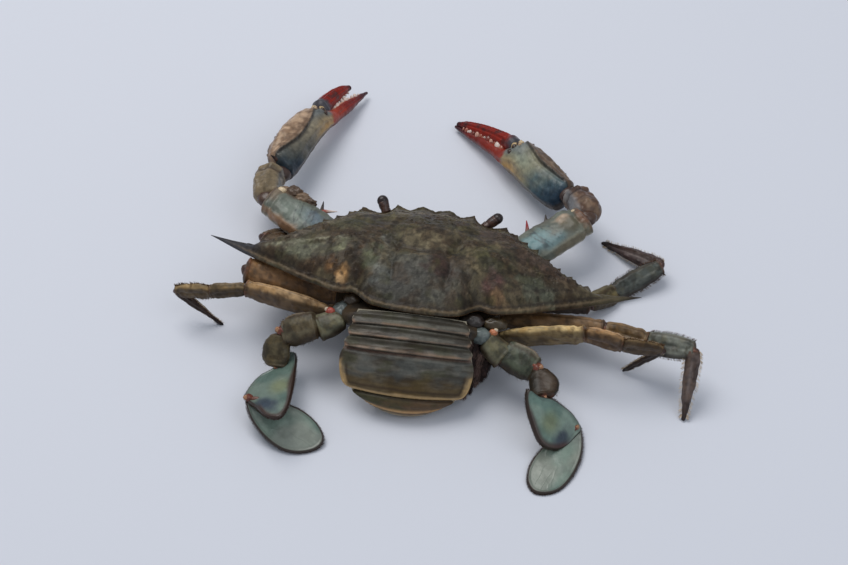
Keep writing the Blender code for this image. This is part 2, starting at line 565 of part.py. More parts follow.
def settle(obj):
    """Applies an object's cuts, keeps its largest piece and clears slivers."""
    graph = bpy.context.evaluated_depsgraph_get()
    data = bmesh.new()
    data.from_mesh(obj.evaluated_get(graph).to_mesh())
    bmesh.ops.dissolve_degenerate(data, edges=data.edges, dist=SLIVER * MM)
    bmesh.ops.dissolve_limit(data, angle_limit=math.radians(0.5), verts=data.verts, edges=data.edges)
    left = set(data.verts)
    pieces = []
    while left:
        stack = [left.pop()]
        piece = list(stack)
        while stack:
            vertex = stack.pop()
            for edge in vertex.link_edges:
                other = edge.other_vert(vertex)
                if other in left:
                    left.remove(other)
                    piece.append(other)
                    stack.append(other)
        pieces.append(piece)
    pieces.sort(key=len)
    for piece in pieces[:-1]:
        bmesh.ops.delete(data, geom=piece, context="VERTS")
    bmesh.ops.triangulate(data, faces=data.faces)
    obj.modifiers.clear()
    data.to_mesh(obj.data)
    data.free()


def main():
    for obj in list(bpy.data.objects):
        bpy.data.objects.remove(obj, do_unlink=True)
    shell = make_carapace()
    thorax = make_thorax()
    abdomen = make_abdomen()
    fitted = [thorax]
    carve(thorax, shell, *abdomen)
    pleopods = make_pleopods()
    for side in ("right", "left"):
        eye, antenna, mouth = make_eye(side), make_antenna(side), make_maxilliped(side)
        carve(shell, eye, antenna)
        carve(thorax, eye, antenna, mouth)
        claw = make_cheliped(side)
        legs = [claw, make_swimming_leg(side)]
        legs += [make_walking_leg(f"walking_leg_{i + 1}", side, size) for i, size in enumerate(LEG_SIZES)]
        for chain in legs:
            carve(thorax, chain[0])
            carve(chain[0], shell)
            for inner, outer in zip(chain, chain[1:]):
                carve(inner, outer)
            fitted += chain[:-1]
        carve(thorax, claw[1])
    fitted.append(shell)
    for obj in fitted:
        settle(obj)
    for obj in bpy.data.objects:
        if not obj.hide_render:
            obj.data.shade_smooth()
            obj.data.set_sharp_from_angle(angle=math.radians(35))


main()
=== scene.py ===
"""The looks of the blue swimming crab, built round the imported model.

Everything is laid out in the crab's own millimetres, as the model's solids are: +X is the crab's right,
+Y forward, +Z up, and the floor is z = 0.  The shell, eyes, mouth and abdomen are laid out in the body's
frame, whose z = 0 is the plane of the shell's margin.  A limb is a chain of segments, each with a length,
a heading (degrees forward of straight out) and a climb.  add_mesh moves each piece to the model's frame.
"""
import math

import bmesh
import bpy
import numpy as np
from mathutils import Matrix, Vector


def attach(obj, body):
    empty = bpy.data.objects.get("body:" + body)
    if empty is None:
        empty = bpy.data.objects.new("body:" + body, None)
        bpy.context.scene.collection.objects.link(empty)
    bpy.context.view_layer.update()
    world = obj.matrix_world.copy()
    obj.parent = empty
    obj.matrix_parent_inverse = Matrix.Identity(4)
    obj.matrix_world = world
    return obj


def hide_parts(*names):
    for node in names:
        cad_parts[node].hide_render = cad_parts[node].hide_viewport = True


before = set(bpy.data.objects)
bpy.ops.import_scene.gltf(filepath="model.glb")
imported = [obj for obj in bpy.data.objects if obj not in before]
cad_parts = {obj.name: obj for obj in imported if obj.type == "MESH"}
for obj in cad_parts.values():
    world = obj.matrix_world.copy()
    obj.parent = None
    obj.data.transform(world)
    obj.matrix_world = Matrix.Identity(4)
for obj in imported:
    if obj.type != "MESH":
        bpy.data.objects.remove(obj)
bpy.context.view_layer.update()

MM = 0.001
CENTRE = np.array([6.2, 17.0, 0.0])    # the middle of the model's outline on the floor, in the crab's place
SIDES = {"right": 1, "left": -1}

# ---------------------------------------------------------------- the body's place and main sizes
BODY_HEIGHT = 24.1
BODY_PITCH = -9.7
BODY_ROLL = 3.0

NOTCH = (0.0, 30.6)
FRONT_TOOTH = (5.0, 33.7)
FRONT_VALLEY = (9.6, 30.2)
INNER_ORBIT = (14.7, 33.5)
ORBIT = (20.5, 26.8)
SIDE_TEETH = ((27.5, 29.9), (32.0, 25.9), (36.1, 22.5), (40.4, 18.8),
              (45.1, 13.4), (49.4, 9.5), (54.0, 6.3), (60.0, 2.7))
TOOTH_DEPTHS = (1.9, 4.0)
SPINE_TIP = (80.0, 3.5)
SPINE_VALLEY = (61.4, -1.6)
REAR = ((0.0, -31.4), (8.0, -31.1), (16.5, -29.6), (25.0, -25.6), (34.0, -21.4), (48.5, -14.8),
        (63.5, -7.0), SPINE_TIP)
FRONT_LINE = ((0.0, 31.0), (14.0, 31.0), (27.0, 27.0), (45.0, 11.5), (61.0, -1.0), SPINE_TIP)
CREST_SHARE = 0.53
DOME = 11.6
DOME_REACH = 66.0
BELLY = 9.0
RIM_HALF = 1.1

# ---------------------------------------------------------------- limbs, as the solids have them
LENGTHS = {"cheliped": (38.5, 18.0, 70.0),
           "walking_leg_1": (32.0, 13.1, 20.6, 29.0),
           "walking_leg_2": (34.5, 15.8, 17.6, 25.2),
           "walking_leg_3": (27.3, 13.1, 14.3, 22.3),
           "swimming_leg": (14.0, 12.5, 17.8, 30.5)}
SEGMENTS = ("merus", "carpus", "propodus", "dactyl")
HIP = 4.5
POSE = {("cheliped", "right"): ((28.5, 15.5, -10.5), ((40, 14), (109, -16), (139, -10))),
        ("cheliped", "left"): ((-29.5, 17.3, -9.7), ((25, 7), (88, -11), (112, -10))),
        ("walking_leg_1", "right"): ((30.5, 3.1, -10.9), ((10, -10), (46, -14), (36, 13), (145, -14))),
        ("walking_leg_1", "left"): ((-31.7, 3.6, -10.8), ((20, 2), (125, -30), (166, -13), (170, -8))),
        ("walking_leg_2", "right"): ((33.9, -9.2, -12.1), ((-4, 5.5), (-13, -1), (-16, 10), (-94, -45))),
        ("walking_leg_2", "left"): ((-29.8, -8.5, -12.1), ((-1, 13), (128, -31), (113, -38), (-165, -7))),
        ("walking_leg_3", "right"): ((35.2, -20.6, -10.4), ((-1, 13), (-8, -5), (4, -9), (164, -53))),
        ("walking_leg_3", "left"): ((-35.3, -20.0, -11.0), ((9, 4), (-4, -11), (8, -15), (-174, -41))),
        ("swimming_leg", "right"): ((33.3, -29.5, -10.5), ((-26, -4), (-75, -1), (-6, -48), (-111, -3))),
        ("swimming_leg", "left"): ((-33.2, -30.4, -9.6), ((-7, -22), (-88, -40), (-67, 3), (-158, -16)))}
# Which way the swimming legs' segments face, and the edge of each claw that bears its moving finger
FACE = {"right": ((0.1, -0.6, 0.8), (0.1, -0.7, 0.7), (0.55, -0.4, 0.7), (0, -0.1, 1)),
        "left": ((-0.2, -0.5, 0.8), (-0.2, -0.5, 0.8), (-0.35, 0, 1), (0.1, -0.35, 1))}
CLAW_TOP = {"right": (0.50, 0.57, 0.65), "left": (-0.72, 0.30, 0.62)}

# Profiles along a segment: (place along it 0..1, half breadth, half thickness, shift across)
MERUS = ((0, 2.7, 2.0, 0), (0.25, 4.1, 2.5, 0), (0.65, 4.5, 2.6, 0), (0.92, 3.9, 2.5, 0), (1, 3.2, 2.2, 0))
CARPUS = ((0, 2.4, 1.9, 0), (0.3, 3.1, 2.2, 0), (0.8, 3.5, 2.3, 0), (1, 2.9, 2.0, 0))
PROPODUS = ((0, 2.6, 1.8, 0), (0.3, 3.5, 1.9, 0), (0.75, 3.3, 1.7, 0), (1, 2.4, 1.5, 0))
DACTYL = ((0, 2.0, 1.4, 0), (0.15, 2.5, 1.5, 0), (0.5, 2.1, 1.2, 0), (0.85, 1.1, 0.7, 0), (1, 0.6, 0.5, 0))
ARM = ((0, 6.0, 4.0, 1.5), (0.3, 7.6, 4.8, 1.5), (0.75, 7.3, 5.0, 0.6), (0.93, 6.2, 4.7, 0), (1, 5, 4, 0))
WRISTS = {"right": ((0, 4.6, 4.2, 0.4), (0.3, 5.6, 5.4, 1.2), (0.75, 5.0, 5.1, 0.4), (1, 4.4, 4.3, 0)),
          "left": ((0, 4.6, 4.2, 0.4), (0.3, 5.6, 5.4, 1.4), (0.75, 5.8, 5.6, 1.4), (1, 4.8, 4.6, 0.6))}
PALMS = {"right": ((0, 6.2, 4.2, -1.2), (0.1, 7.4, 5.2, -0.9), (0.2, 7.9, 5.6, 0.3), (0.3, 8.0, 5.7, 1.5),
                   (0.4, 7.6, 5.6, 2.4), (0.44, 7.1, 5.4, 2.3), (0.5, 4.75, 4.4, 0.65),
                   (0.56, 3.2, 3.4, -0.2), (0.63, 2.5, 3.0, 0.2), (0.72, 2.2, 2.6, 0.4),
                   (0.85, 1.5, 1.8, 0.1), (0.94, 1.0, 1.2, 0), (1, 0.6, 0.6, 0)),
         "left": ((0, 6.2, 4.2, 1.6), (0.1, 7.4, 5.2, 3.6), (0.2, 7.8, 5.6, 5.0), (0.3, 7.6, 5.7, 6.0),
                  (0.4, 7.0, 5.5, 6.4), (0.5, 6.2, 5.0, 6.0), (0.565, 4.2, 4.0, 3.9), (0.63, 2.9, 3.0, 2.6),
                  (0.74, 2.8, 2.6, 2.2), (0.84, 2.1, 2.0, 1.5), (0.94, 1.2, 1.3, 0.8), (1, 0.6, 0.6, 0.4))}
FINGER = ((0, 3.0, 2.8, 0), (0.12, 3.7, 3.2, 0.3), (0.45, 3.1, 2.7, 1.1), (0.8, 2.2, 2.0, 0.8),
          (1, 0.9, 0.9, 0))
LEG_SIZES = (1.08, 1.0, 0.9)
# The moving fingers' hinges: their place along the palm and height over its middle; length and lean of each
HINGE_PLACE = {"right": 0.485, "left": 0.55}
HINGE_RISE = {"right": 5.4, "left": 7.9}
PALM_ROOT = 2.4
FINGERS = {"right": (35.0, -7.5), "left": (25.0, -2.5)}
SWIM_MERUS = ((0, 4.8, 2.9, 0), (0.3, 5.5, 3.2, 0), (0.7, 5.7, 3.2, 0), (1, 4.3, 2.7, 0))
SWIM_CARPUS = ((0, 3.2, 2.3, 0.6), (0.4, 5.0, 2.6, 1.4), (0.8, 4.9, 2.4, 1.2), (1, 3.6, 2.0, 0.2))

# ---------------------------------------------------------------- the abdomen, in the body's frame
ABDOMEN_START = (-33.0, 0.6)
# (name, length, half breadth at its start and end, how far its sides droop, slope at its start and end)
ABDOMEN = (("abdomen_1", 3.9, 20.0, 20.8, 2.0, 38, 42),
           ("abdomen_2", 3.9, 21.2, 21.6, 2.4, 42, 50),
           ("abdomen_3", 4.2, 21.8, 22.6, 3.0, 50, 56),
           ("abdomen_4", 15.0, 23.2, 20.8, 4.0, 54, 68),
           ("abdomen_5", 12.6, 18.6, 13.0, 3.4, 57, 180),
           ("abdomen_6", 14.0, 12.0, 8.5, 2.4, 184, 194),
           ("telson", 9.5, 6.4, 2.2, 0.6, 192, 196))
PLATE_HALF = 0.9
PLATE_GAP = 0.5
ABDOMEN_TURN = 2.5
ABDOMEN_SHIFT = 1.2

BODY = np.array(Matrix.Translation((0, 0, BODY_HEIGHT)) @ Matrix.Rotation(math.radians(BODY_PITCH), 4, "X")
                @ Matrix.Rotation(math.radians(BODY_ROLL), 4, "Y"))
BODY_UP = BODY[:3, 2]
UP = np.array((0.0, 0.0, 1.0))
SQUARE = np.eye(3)


# ================================================================ numbers, noise and colours
def unit(v):
    """A vector of length one along v."""
    v = np.asarray(v, float)
    return v / np.linalg.norm(v, axis=-1, keepdims=True)


def to_world(points):
    """Points of the body's frame, in the crab's millimetres."""
    return np.asarray(points, float) @ BODY[:3, :3].T + BODY[:3, 3]


def grid(*parts):
    """Coordinates, given apart, as points."""
    return np.stack(np.broadcast_arrays(*parts), axis=-1)


def ramp(low, high, x):
    """0 below low, 1 above high, and smooth between; low may be the larger."""
    t = np.clip((np.asarray(x, float) - low) / (high - low), 0, 1)
    return t * t * (3 - 2 * t)


def hill(x, centre, width):
    """A smooth bump of height 1 at centre."""
    return np.exp(-((np.asarray(x, float) - centre) / width) ** 2)


def lattice(cell, seed):
    """A repeatable random number 0..1 for each whole-number cell."""
    n = cell[..., 0] * 374761393 + cell[..., 1] * 668265263 + cell[..., 2] * 974634777 + seed * 1013904223
    n = (n ^ (n >> 13)) * 1274126177 & 0x7FFFFFFF
    n = (n ^ (n >> 16)) * 668265263 & 0x7FFFFFFF
    return (n >> 8 & 0xFFFF) / 65535.0


def cloud(points, size, seed=0, octaves=3):
    """Smooth fractal noise between about -1 and 1, whose largest features have the given size."""
    points = np.asarray(points, float)
    total = np.zeros(points.shape[:-1])
    weight = 0.0
    for octave in range(octaves):
        scaled = points * (2.0 ** octave / size) + 37.7 * octave + 1000
        cell = np.floor(scaled).astype(np.int64)
        f = scaled - cell
        f = f * f * (3 - 2 * f)
        value = np.zeros(points.shape[:-1])
        for corner in range(8):
            step = np.array([corner & 1, corner >> 1 & 1, corner >> 2 & 1])
            value += np.prod(np.where(step, f, 1 - f), axis=-1) * lattice(cell + step, seed + octave)
        total += (value * 2 - 1) * 0.5 ** octave
        weight += 0.5 ** octave
    return total / weight * 1.6


def patches(points, size, seed, low, high, octaves=3):
    """Noise as a share: 0 where it is below low, 1 where it is above high."""
    return ramp(low, high, cloud(points, size, seed, octaves))


def srgb(r, g, b):
    """A colour given as on a screen, 0..255, as linear numbers."""
    c = np.array([r, g, b]) / 255.0
    return np.where(c <= 0.04045, c / 12.92, ((c + 0.055) / 1.055) ** 2.4)


def mix(a, b, share):
    """Colours a and b mixed, where share may differ from point to point."""
    share = np.asarray(share, float)[..., None]
    return a * (1 - share) + b * share


def curve(table, places, column=1):
    """A smooth curve through one column of a profile table, read at many places."""
    x, y = np.asarray(table, float).T[[0, column]]
    t = np.asarray(places, float)
    last = len(x) - 1
    i = np.clip(np.searchsorted(x, t, "right") - 1, 0, last - 1)
    before, after = np.maximum(i - 1, 0), np.minimum(i + 2, last)
    span = x[i + 1] - x[i]
    slope_a = (y[i + 1] - y[before]) / (x[i + 1] - x[before])
    slope_b = (y[after] - y[i]) / (x[after] - x[i])
    u = (t - x[i]) / span
    return (y[i] * (1 + 2 * u) * (1 - u) ** 2 + y[i + 1] * u * u * (3 - 2 * u)
            + slope_a * span * u * (1 - u) ** 2 - slope_b * span * u * u * (1 - u))


def scaled(profile, breadth=1.0, thick=1.0, shift=1.0, rise=0.0):
    """A segment's profile with its half breadth, half thickness and shift scaled."""
    return tuple((t, b * breadth, h * thick, s * shift + rise) for t, b, h, s in profile)


class Paint:
    """A colour for every point of a surface, laid on in layers; a share says how much of a layer shows."""

    def __init__(self, tint, place):
        self.tint = tint
        self.place = place

    def lay(self, colour, share):
        """Lays on a colour in linear numbers."""
        self.tint = mix(self.tint, colour, share)

    def over(self, colour, share):
        """Lays on a colour given as on a screen; a plain number shades what is there by it."""
        self.lay(self.tint * colour if np.isscalar(colour) else srgb(*colour), share)

    def blots(self, colour, strength, size, seed, low, high, octaves=3):
        """Lays it on in irregular patches."""
        self.over(colour, strength * patches(self.place, size, seed, low, high, octaves))


# ================================================================ materials
def set_inputs(node, values):
    for name, value in values.items():
        node.inputs[name].default_value = value


def make_material(slot, roughness, grain, depth, mottle, coat=0.0, specular=0.4):
    """A finish: painted colour, fine speckles and grain, whose size and depth are in micrometres."""
    made = bpy.data.materials.new(slot)
    made.use_nodes = True
    tree = made.node_tree
    kinds = ("Attribute", "TexCoord", "TexNoise", "MapRange", "VectorMath", "TexNoise", "Bump")
    tint, place, coarse, value, shade, fine, bump = (tree.nodes.new("ShaderNode" + kind) for kind in kinds)
    shader = tree.nodes["Principled BSDF"]
    tint.attribute_name = "tint"
    shade.operation = "SCALE"
    set_inputs(shader, {"Roughness": roughness, "Coat Weight": coat, "Coat Roughness": 0.25,
                        "Specular IOR Level": specular})
    set_inputs(coarse, {"Scale": 0.35e6 / grain, "Detail": 6, "Roughness": 0.65})
    set_inputs(value, {"From Min": 0.3, "From Max": 0.7, "To Min": 1 - mottle, "To Max": 1 + mottle})
    set_inputs(fine, {"Scale": 1e6 / grain, "Detail": 3})
    set_inputs(bump, {"Strength": 0.6, "Distance": depth / 1e6})
    for a, leaves, b, enters in ((place, "Object", coarse, "Vector"), (coarse, "Fac", value, "Value"),
                                 (tint, "Color", shade, 0), (value, "Result", shade, "Scale"),
                                 (shade, "Vector", shader, "Base Color"), (place, "Object", fine, "Vector"),
                                 (fine, "Fac", bump, "Height"), (bump, "Normal", shader, "Normal")):
        tree.links.new(a.outputs[leaves], b.inputs[enters])
    return made


# Each finish: roughness, grain size and depth in micrometres, mottle, coat, specular level
FINISHES = {"shell": (0.50, 600, 200, 0.28, 0.04, 0.22), "belly": (0.40, 1000, 100, 0.08),
            "leg": (0.42, 700, 150, 0.25, 0.06, 0.28), "arm": (0.38, 700, 150, 0.20, 0.12, 0.32),
            "paddle": (0.36, 800, 80, 0.10, 0.2), "eye": (0.32, 400, 30, 0.15, 0.15, 0.35),
            "abdomen": (0.44, 700, 150, 0.22, 0.06, 0.26), "hair": (0.70, 500, 20, 0.15, 0, 0.2),
            "finger": (0.36, 600, 100, 0.22, 0.06, 0.20), "membrane": (0.35, 600, 150, 0.25, 0.3),
            "tooth": (0.28, 800, 50, 0.10, 0.3)}
MATERIALS = {slot: make_material(slot, *finish) for slot, finish in FINISHES.items()}


# ================================================================ making pieces
def add_mesh(name, points, faces, slot, tint, node="", solid=True):
    """A piece of the crab, painted point by point, which may stand for a node of the model."""
    points = np.asarray(points, float).reshape(-1, 3)
    mesh = bpy.data.meshes.new(name)
    mesh.from_pydata(((points - CENTRE) * MM).tolist(), [], faces)
    layer = mesh.color_attributes.new("tint", "FLOAT_COLOR", "POINT")
    paint = np.ones((len(points), 4))
    paint[:, :3] = np.clip(tint.reshape(-1, 3), 0, 1)
    layer.data.foreach_set("color", paint.ravel())
    mesh.shade_smooth()
    mesh.materials.append(MATERIALS[slot])
    if solid:
        face_outwards(mesh)
    obj = bpy.data.objects.new(name, mesh)
    bpy.context.scene.collection.objects.link(obj)
    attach(obj, "root")
    if node:
        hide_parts(node)
    return obj


def with_ends(tint):
    """The paint of a grid and of the two points that close its ends."""
    return np.concatenate([tint.reshape(-1, 3), [tint[0].mean(axis=0), tint[-1].mean(axis=0)]])


def face_outwards(mesh):
    """Turns a closed mesh's faces to point out of it."""
    data = bmesh.new()
    data.from_mesh(mesh)
    bmesh.ops.recalc_face_normals(data, faces=data.faces)
    if data.calc_volume(signed=True) < 0:
        bmesh.ops.reverse_faces(data, faces=data.faces)
    data.to_mesh(mesh)
    data.free()


def grid_faces(rows, columns, poles=True):
    """Faces of a grid of closed rings; with poles, two more points close its ends."""
    turns = [(j, (j + 1) % columns) for j in range(columns)]
    faces = [(a + j, a + k, a + columns + k, a + columns + j)
             for a in range(0, (rows - 1) * columns, columns) for j, k in turns]
    if poles:
        first, end = rows * columns, (rows - 1) * columns
        for j, k in turns:
            faces += [(first, k, j), (first + 1, end + j, end + k)]
    return faces


class Segment(Paint):
    """The surface of one limb segment: a grid of rings from start to end, and its paint.

    t runs along it from 0 to 1, and angle round it: 0 is its broad side's edge, 90 degrees its face.
    """

    def __init__(self, start, end, face, profile, rings=56, sides=48, caps=(1.6, 1.6), power=2.3):
        start, end = np.asarray(start, float), np.asarray(end, float)
        self.length = float(np.linalg.norm(end - start))
        self.axis = unit(end - start)
        face = np.asarray(face, float)
        self.thin = unit(face - self.axis * face.dot(self.axis))
        self.broad = np.cross(self.thin, self.axis)
        u = np.linspace(0, 1, rings + 2)[1:-1, None]
        self.t = t = u - 0.75 * np.sin(2 * math.pi * u) / (2 * math.pi)
        self.angle = (np.arange(sides) * 2 * math.pi / sides)[None, :]
        c, s = (np.sign(w) * np.abs(w) ** (2 / power) for w in (np.cos(self.angle), np.sin(self.angle)))
        blunt = 1.0
        for near, cap in ((t, caps[0]), (1 - t, caps[1])):
            blunt = blunt * np.sqrt(1 - (1 - np.clip(near * self.length / cap, 0, 1)) ** 2)
        half_b, half_t, shift = (curve(profile, t, column) for column in (1, 2, 3))
        across = (c * half_b * blunt + shift)[..., None]
        self.points = start + self.axis * (t * self.length)[..., None] + self.broad * across
        self.points = self.points + self.thin * (s * half_t * blunt)[..., None]
        self.ends = [start + self.broad * profile[0][3], end + self.broad * profile[-1][3]]
        self.out = unit(self.broad * (c / np.maximum(half_b, 0.1))[..., None]
                        + self.thin * (s / np.maximum(half_t, 0.1))[..., None])
        self.full = np.minimum(1, blunt * 1.2)
        super().__init__(None, self.points.copy())

    def lift(self, amount):
        """Raises the surface outwards by an amount in millimetres for each point."""
        self.points = self.points + self.out * (amount * self.full)[..., None]

    def turn(self, degrees):
        """How far round each point lies from a direction, in degrees."""
        return np.abs((np.degrees(self.angle) - degrees + 180) % 360 - 180)

    def carve(self, ridges=(), bands=(), grains=()):
        """Relief, where a height below zero makes a groove: lengthwise ridges (degrees, width, height, from,
        to), rings round it (place, width, height) and irregular bumps (size, height, seed)."""
        for degrees, width, height, *reach in ridges:
            low, high = reach or (0.0, 1.0)
            along = ramp(low, low + 0.08, self.t) * ramp(high, high - 0.08, self.t)
            self.lift(height * hill(self.turn(degrees), 0, width) * along)
        for place, width, height in bands:
            self.lift(height * hill(self.t * self.length, place * self.length, width))
        for size, height, seed in grains:
            self.lift(height * cloud(self.place, size, seed))

    def paint(self, colour):
        """Starts the paint afresh with a colour in linear numbers."""
        self.tint = np.broadcast_to(colour, self.points.shape)

    def spot(self, place, degrees):
        """The surface point nearest to a place along it and a direction round it."""
        return self.points[np.argmin(np.abs(self.t - place)), np.argmin(self.turn(degrees))]

    def make(self, name, slot, node=""):
        rows, columns = self.points.shape[:2]
        points = np.concatenate([self.points.reshape(-1, 3), self.ends])
        add_mesh(name, points, grid_faces(rows, columns), slot, with_ends(self.tint), node)

    def make_for(self, node, slot):
        """Makes the piece that stands for a node of the model, and is named after it."""
        self.make(node + "_shell", slot, node)


def knob(name, centre, radii, colour, axes=SQUARE, seed=1, lump=0.08, sides=20, slot="membrane", node=""):
    """A small lumpy ball; axes are its three directions."""
    rows = sides // 2
    v = ((np.arange(rows) + 0.5) * math.pi / rows)[:, None]
    u = np.arange(sides) * 2 * math.pi / sides
    sphere = grid(np.sin(v) * np.cos(u), np.sin(v) * np.sin(u), np.cos(v))
    sphere = np.concatenate([sphere.reshape(-1, 3), [[0, 0, 1], [0, 0, -1]]])
    sphere = sphere * (1 + lump * cloud(sphere * 3 + np.asarray(centre), 1.2, seed))[:, None]
    points = np.asarray(centre) + (sphere * radii) @ np.asarray(axes, float)
    tint = srgb(*colour) * (1 + 0.25 * cloud(points, 1.2, seed + 5))[:, None]
    add_mesh(name, points, grid_faces(rows, sides), slot, tint, node)


def bristles(name, roots, directions, length, thickness, colour, droop=0.25, seed=3):
    """Many fine hairs as one mesh: each is a thin three-sided spike that bends a little."""
    directions = unit(directions)
    count = len(roots)
    rng = np.random.default_rng(seed)
    side = unit(np.cross(directions, rng.normal(size=(count, 3))))
    other = np.cross(directions, side)
    lengths = (length * rng.uniform(0.75, 1.15, count))[:, None]
    points = np.zeros((count, 7, 3))
    for ring, (place, size) in enumerate(((0.0, 1.0), (0.55, 0.75))):
        middle = roots + directions * lengths * place - UP * (droop * lengths * place ** 2)
        for k in range(3):
            a = 2 * math.pi * k / 3
            points[:, ring * 3 + k] = middle + (side * math.cos(a) + other * math.sin(a)) * thickness * size
    points[:, 6] = roots + directions * lengths - UP * (droop * lengths)
    spike = ((0, 1, 4, 3), (1, 2, 5, 4), (2, 0, 3, 5), (3, 4, 6), (4, 5, 6), (5, 3, 6), (0, 2, 1))
    faces = [tuple(i * 7 + k for k in face) for i in range(count) for face in spike]
    shade = rng.uniform(0.7, 1.3, count)
    made = add_mesh(name, points, faces, "hair", np.repeat(colour * shade[:, None], 7, axis=0), solid=False)
    # Each hair is a small patch at its root's place on the skin, seen from above.
    low = roots.min(axis=0)[:2]
    span = max(float((roots.max(axis=0)[:2] - low).max()), 1.0)
    home = 0.02 + 0.95 * (roots[:, :2] - low) / span
    patch = 0.0015 * np.array([(0, 0), (1, 0), (2, 0), (0, 1), (1, 1), (2, 1), (1, 2)])
    flat = (home[:, None] + patch).reshape(-1, 2)
    layer = made.data.uv_layers.new(name="OFBake")
    corners = np.zeros(len(made.data.loops), np.int32)
    made.data.loops.foreach_get("vertex_index", corners)
    layer.data.foreach_set("uv", flat[corners].ravel())


# ================================================================ the shell
def lerp(a, b, t):
    """The value a share t of the way from a to b, for tuples."""
    return tuple(x + (y - x) * t for x, y in zip(a, b))


def front_margin():
    """The right front margin from its middle notch to the spine's tip: (x, y, depth of the rim)."""
    corners = [(NOTCH, 0.0, 0.9), (FRONT_TOOTH, 0.2, 2.4), (FRONT_VALLEY, 0.0, 0.9),
               (INNER_ORBIT, -0.2, 2.4), (ORBIT, -1.2, 0.8)]
    last = len(SIDE_TEETH) - 1
    for i, tip in enumerate(SIDE_TEETH):
        corners.append((tip, -0.2, 3.0))
        if i < last:
            ahead = SIDE_TEETH[i + 1]
            x, y = lerp(tip, ahead, 0.55)
            depth = TOOTH_DEPTHS[0] + (TOOTH_DEPTHS[1] - TOOTH_DEPTHS[0]) * i / (last - 1)
            inward = depth / math.hypot(ahead[0] - tip[0], ahead[1] - tip[1])
            corners.append(((x + (ahead[1] - tip[1]) * inward, y + (tip[0] - ahead[0]) * inward), -0.3, 0.8))
    corners += [(SPINE_VALLEY, 0.3, 0.9), (SPINE_TIP, -0.5, 4.0)]
    stations = []
    for (a, _, rim_a), (b, bulge, rim_b) in zip(corners, corners[1:]):
        size = math.hypot(b[0] - a[0], b[1] - a[1])
        count = max(3, round(size / 0.4))
        for t in (i / count for i in range(count)):
            lift = bulge * 4 * t * (1 - t) / size
            x, y, rim = lerp((*a, rim_a), (*b, rim_b), t)
            stations.append((x - (b[1] - a[1]) * lift, y + (b[0] - a[0]) * lift, rim))
    return stations


def margin_height(x, y):
    """The height of the shell's margin: drooping at the spines, lifted at the front and rear."""
    ax, y = np.abs(x), np.asarray(y, float)
    front = np.where(y > 20, 1.4 * np.maximum(0.0, 1 - ax / 26), 0.0)
    return front + 3.0 * np.clip((-y - 18) / 12, 0.0, 1.0) - 3.0 * np.maximum(0.0, (ax - 45) / 35) ** 1.3


# Swellings and furrows of the shell: (distance from the middle, y, height, reach across, reach along)
REGIONS = ((9.5, 17.0, 1.0, 7.0, 5.5), (0.0, 6.0, 0.8, 6.0, 7.0), (0.0, -14.0, 1.2, 8.5, 7.0),
           (24.0, -8.0, 1.8, 9.0, 8.0), (38.0, 3.0, 1.0, 9.0, 6.0), (27.0, 15.0, 0.7, 7.0, 4.5),
           (11.5, -3.0, -1.0, 3.0, 6.0), (16.5, 8.0, -0.9, 4.0, 3.0), (10.0, -16.0, -0.7, 2.6, 6.5),
           (38.0, -9.0, -0.8, 9.0, 2.6), (27.8, -18.0, 0.9, 3.2, 3.0), (50.0, -3.0, 0.5, 8.0, 2.0))


def relief(x, y):
    """The swellings and furrows of the shell's regions, over its plain dome."""
    ax = np.abs(x)
    return sum(h * np.exp(-((ax - cx) / sx) ** 2 - ((y - cy) / sy) ** 2) for cx, cy, h, sx, sy in REGIONS)


def near_line(x, y, line, width):
    """A smooth bump along a broken line."""
    best = np.full(np.shape(x), 1e9)
    for (ax, ay), (bx, by) in zip(line, line[1:]):
        dx, dy = bx - ax, by - ay
        t = np.clip(((x - ax) * dx + (y - ay) * dy) / (dx * dx + dy * dy), 0, 1)
        best = np.minimum(best, np.hypot(x - ax - dx * t, y - ay - dy * t))
    return hill(best, 0, width)


# Grooves (below zero) and beaded ridges of the right half: a broken line, height, half width
FOLDS = ((((6.0, 19.0), (10.5, 10.0), (13.5, 3.5), (10.5, -2.5), (9.0, -8.0)), -0.45, 1.1),
         (((9.0, -8.0), (10.5, -14.0), (9.5, -21.0)), -0.45, 1.0),
         (((13.5, 3.5), (20.0, 5.0), (27.0, 8.0), (35.0, 14.5)), -0.40, 1.3),
         (((-2.0, -8.6), (2.0, -8.6), (9.0, -6.6), (13.5, -2.0)), -0.55, 0.8),
         (((21.0, -23.0), (18.5, -18.0), (16.0, -14.0)), -0.50, 1.1),
         (((60.0, -0.5), (50.0, -5.2), (42.0, -6.6), (34.0, -5.8), (26.0, -4.6)), 0.55, 0.7),
         (((50.0, -4.2), (41.0, -1.2), (36.0, 4.0), (28.5, 10.5), (19.0, 18.5), (8.0, 22.5), (0.0, 23.0)),
          0.45, 0.8),
         (((2.0, 12.4), (8.0, 13.2), (14.0, 12.0)), 0.20, 0.6))
# The dip of the rear margin over each swimming leg: (distance from the middle, reach, depth)
REAR_NOTCH = (22.0, 4.2, 4.4)


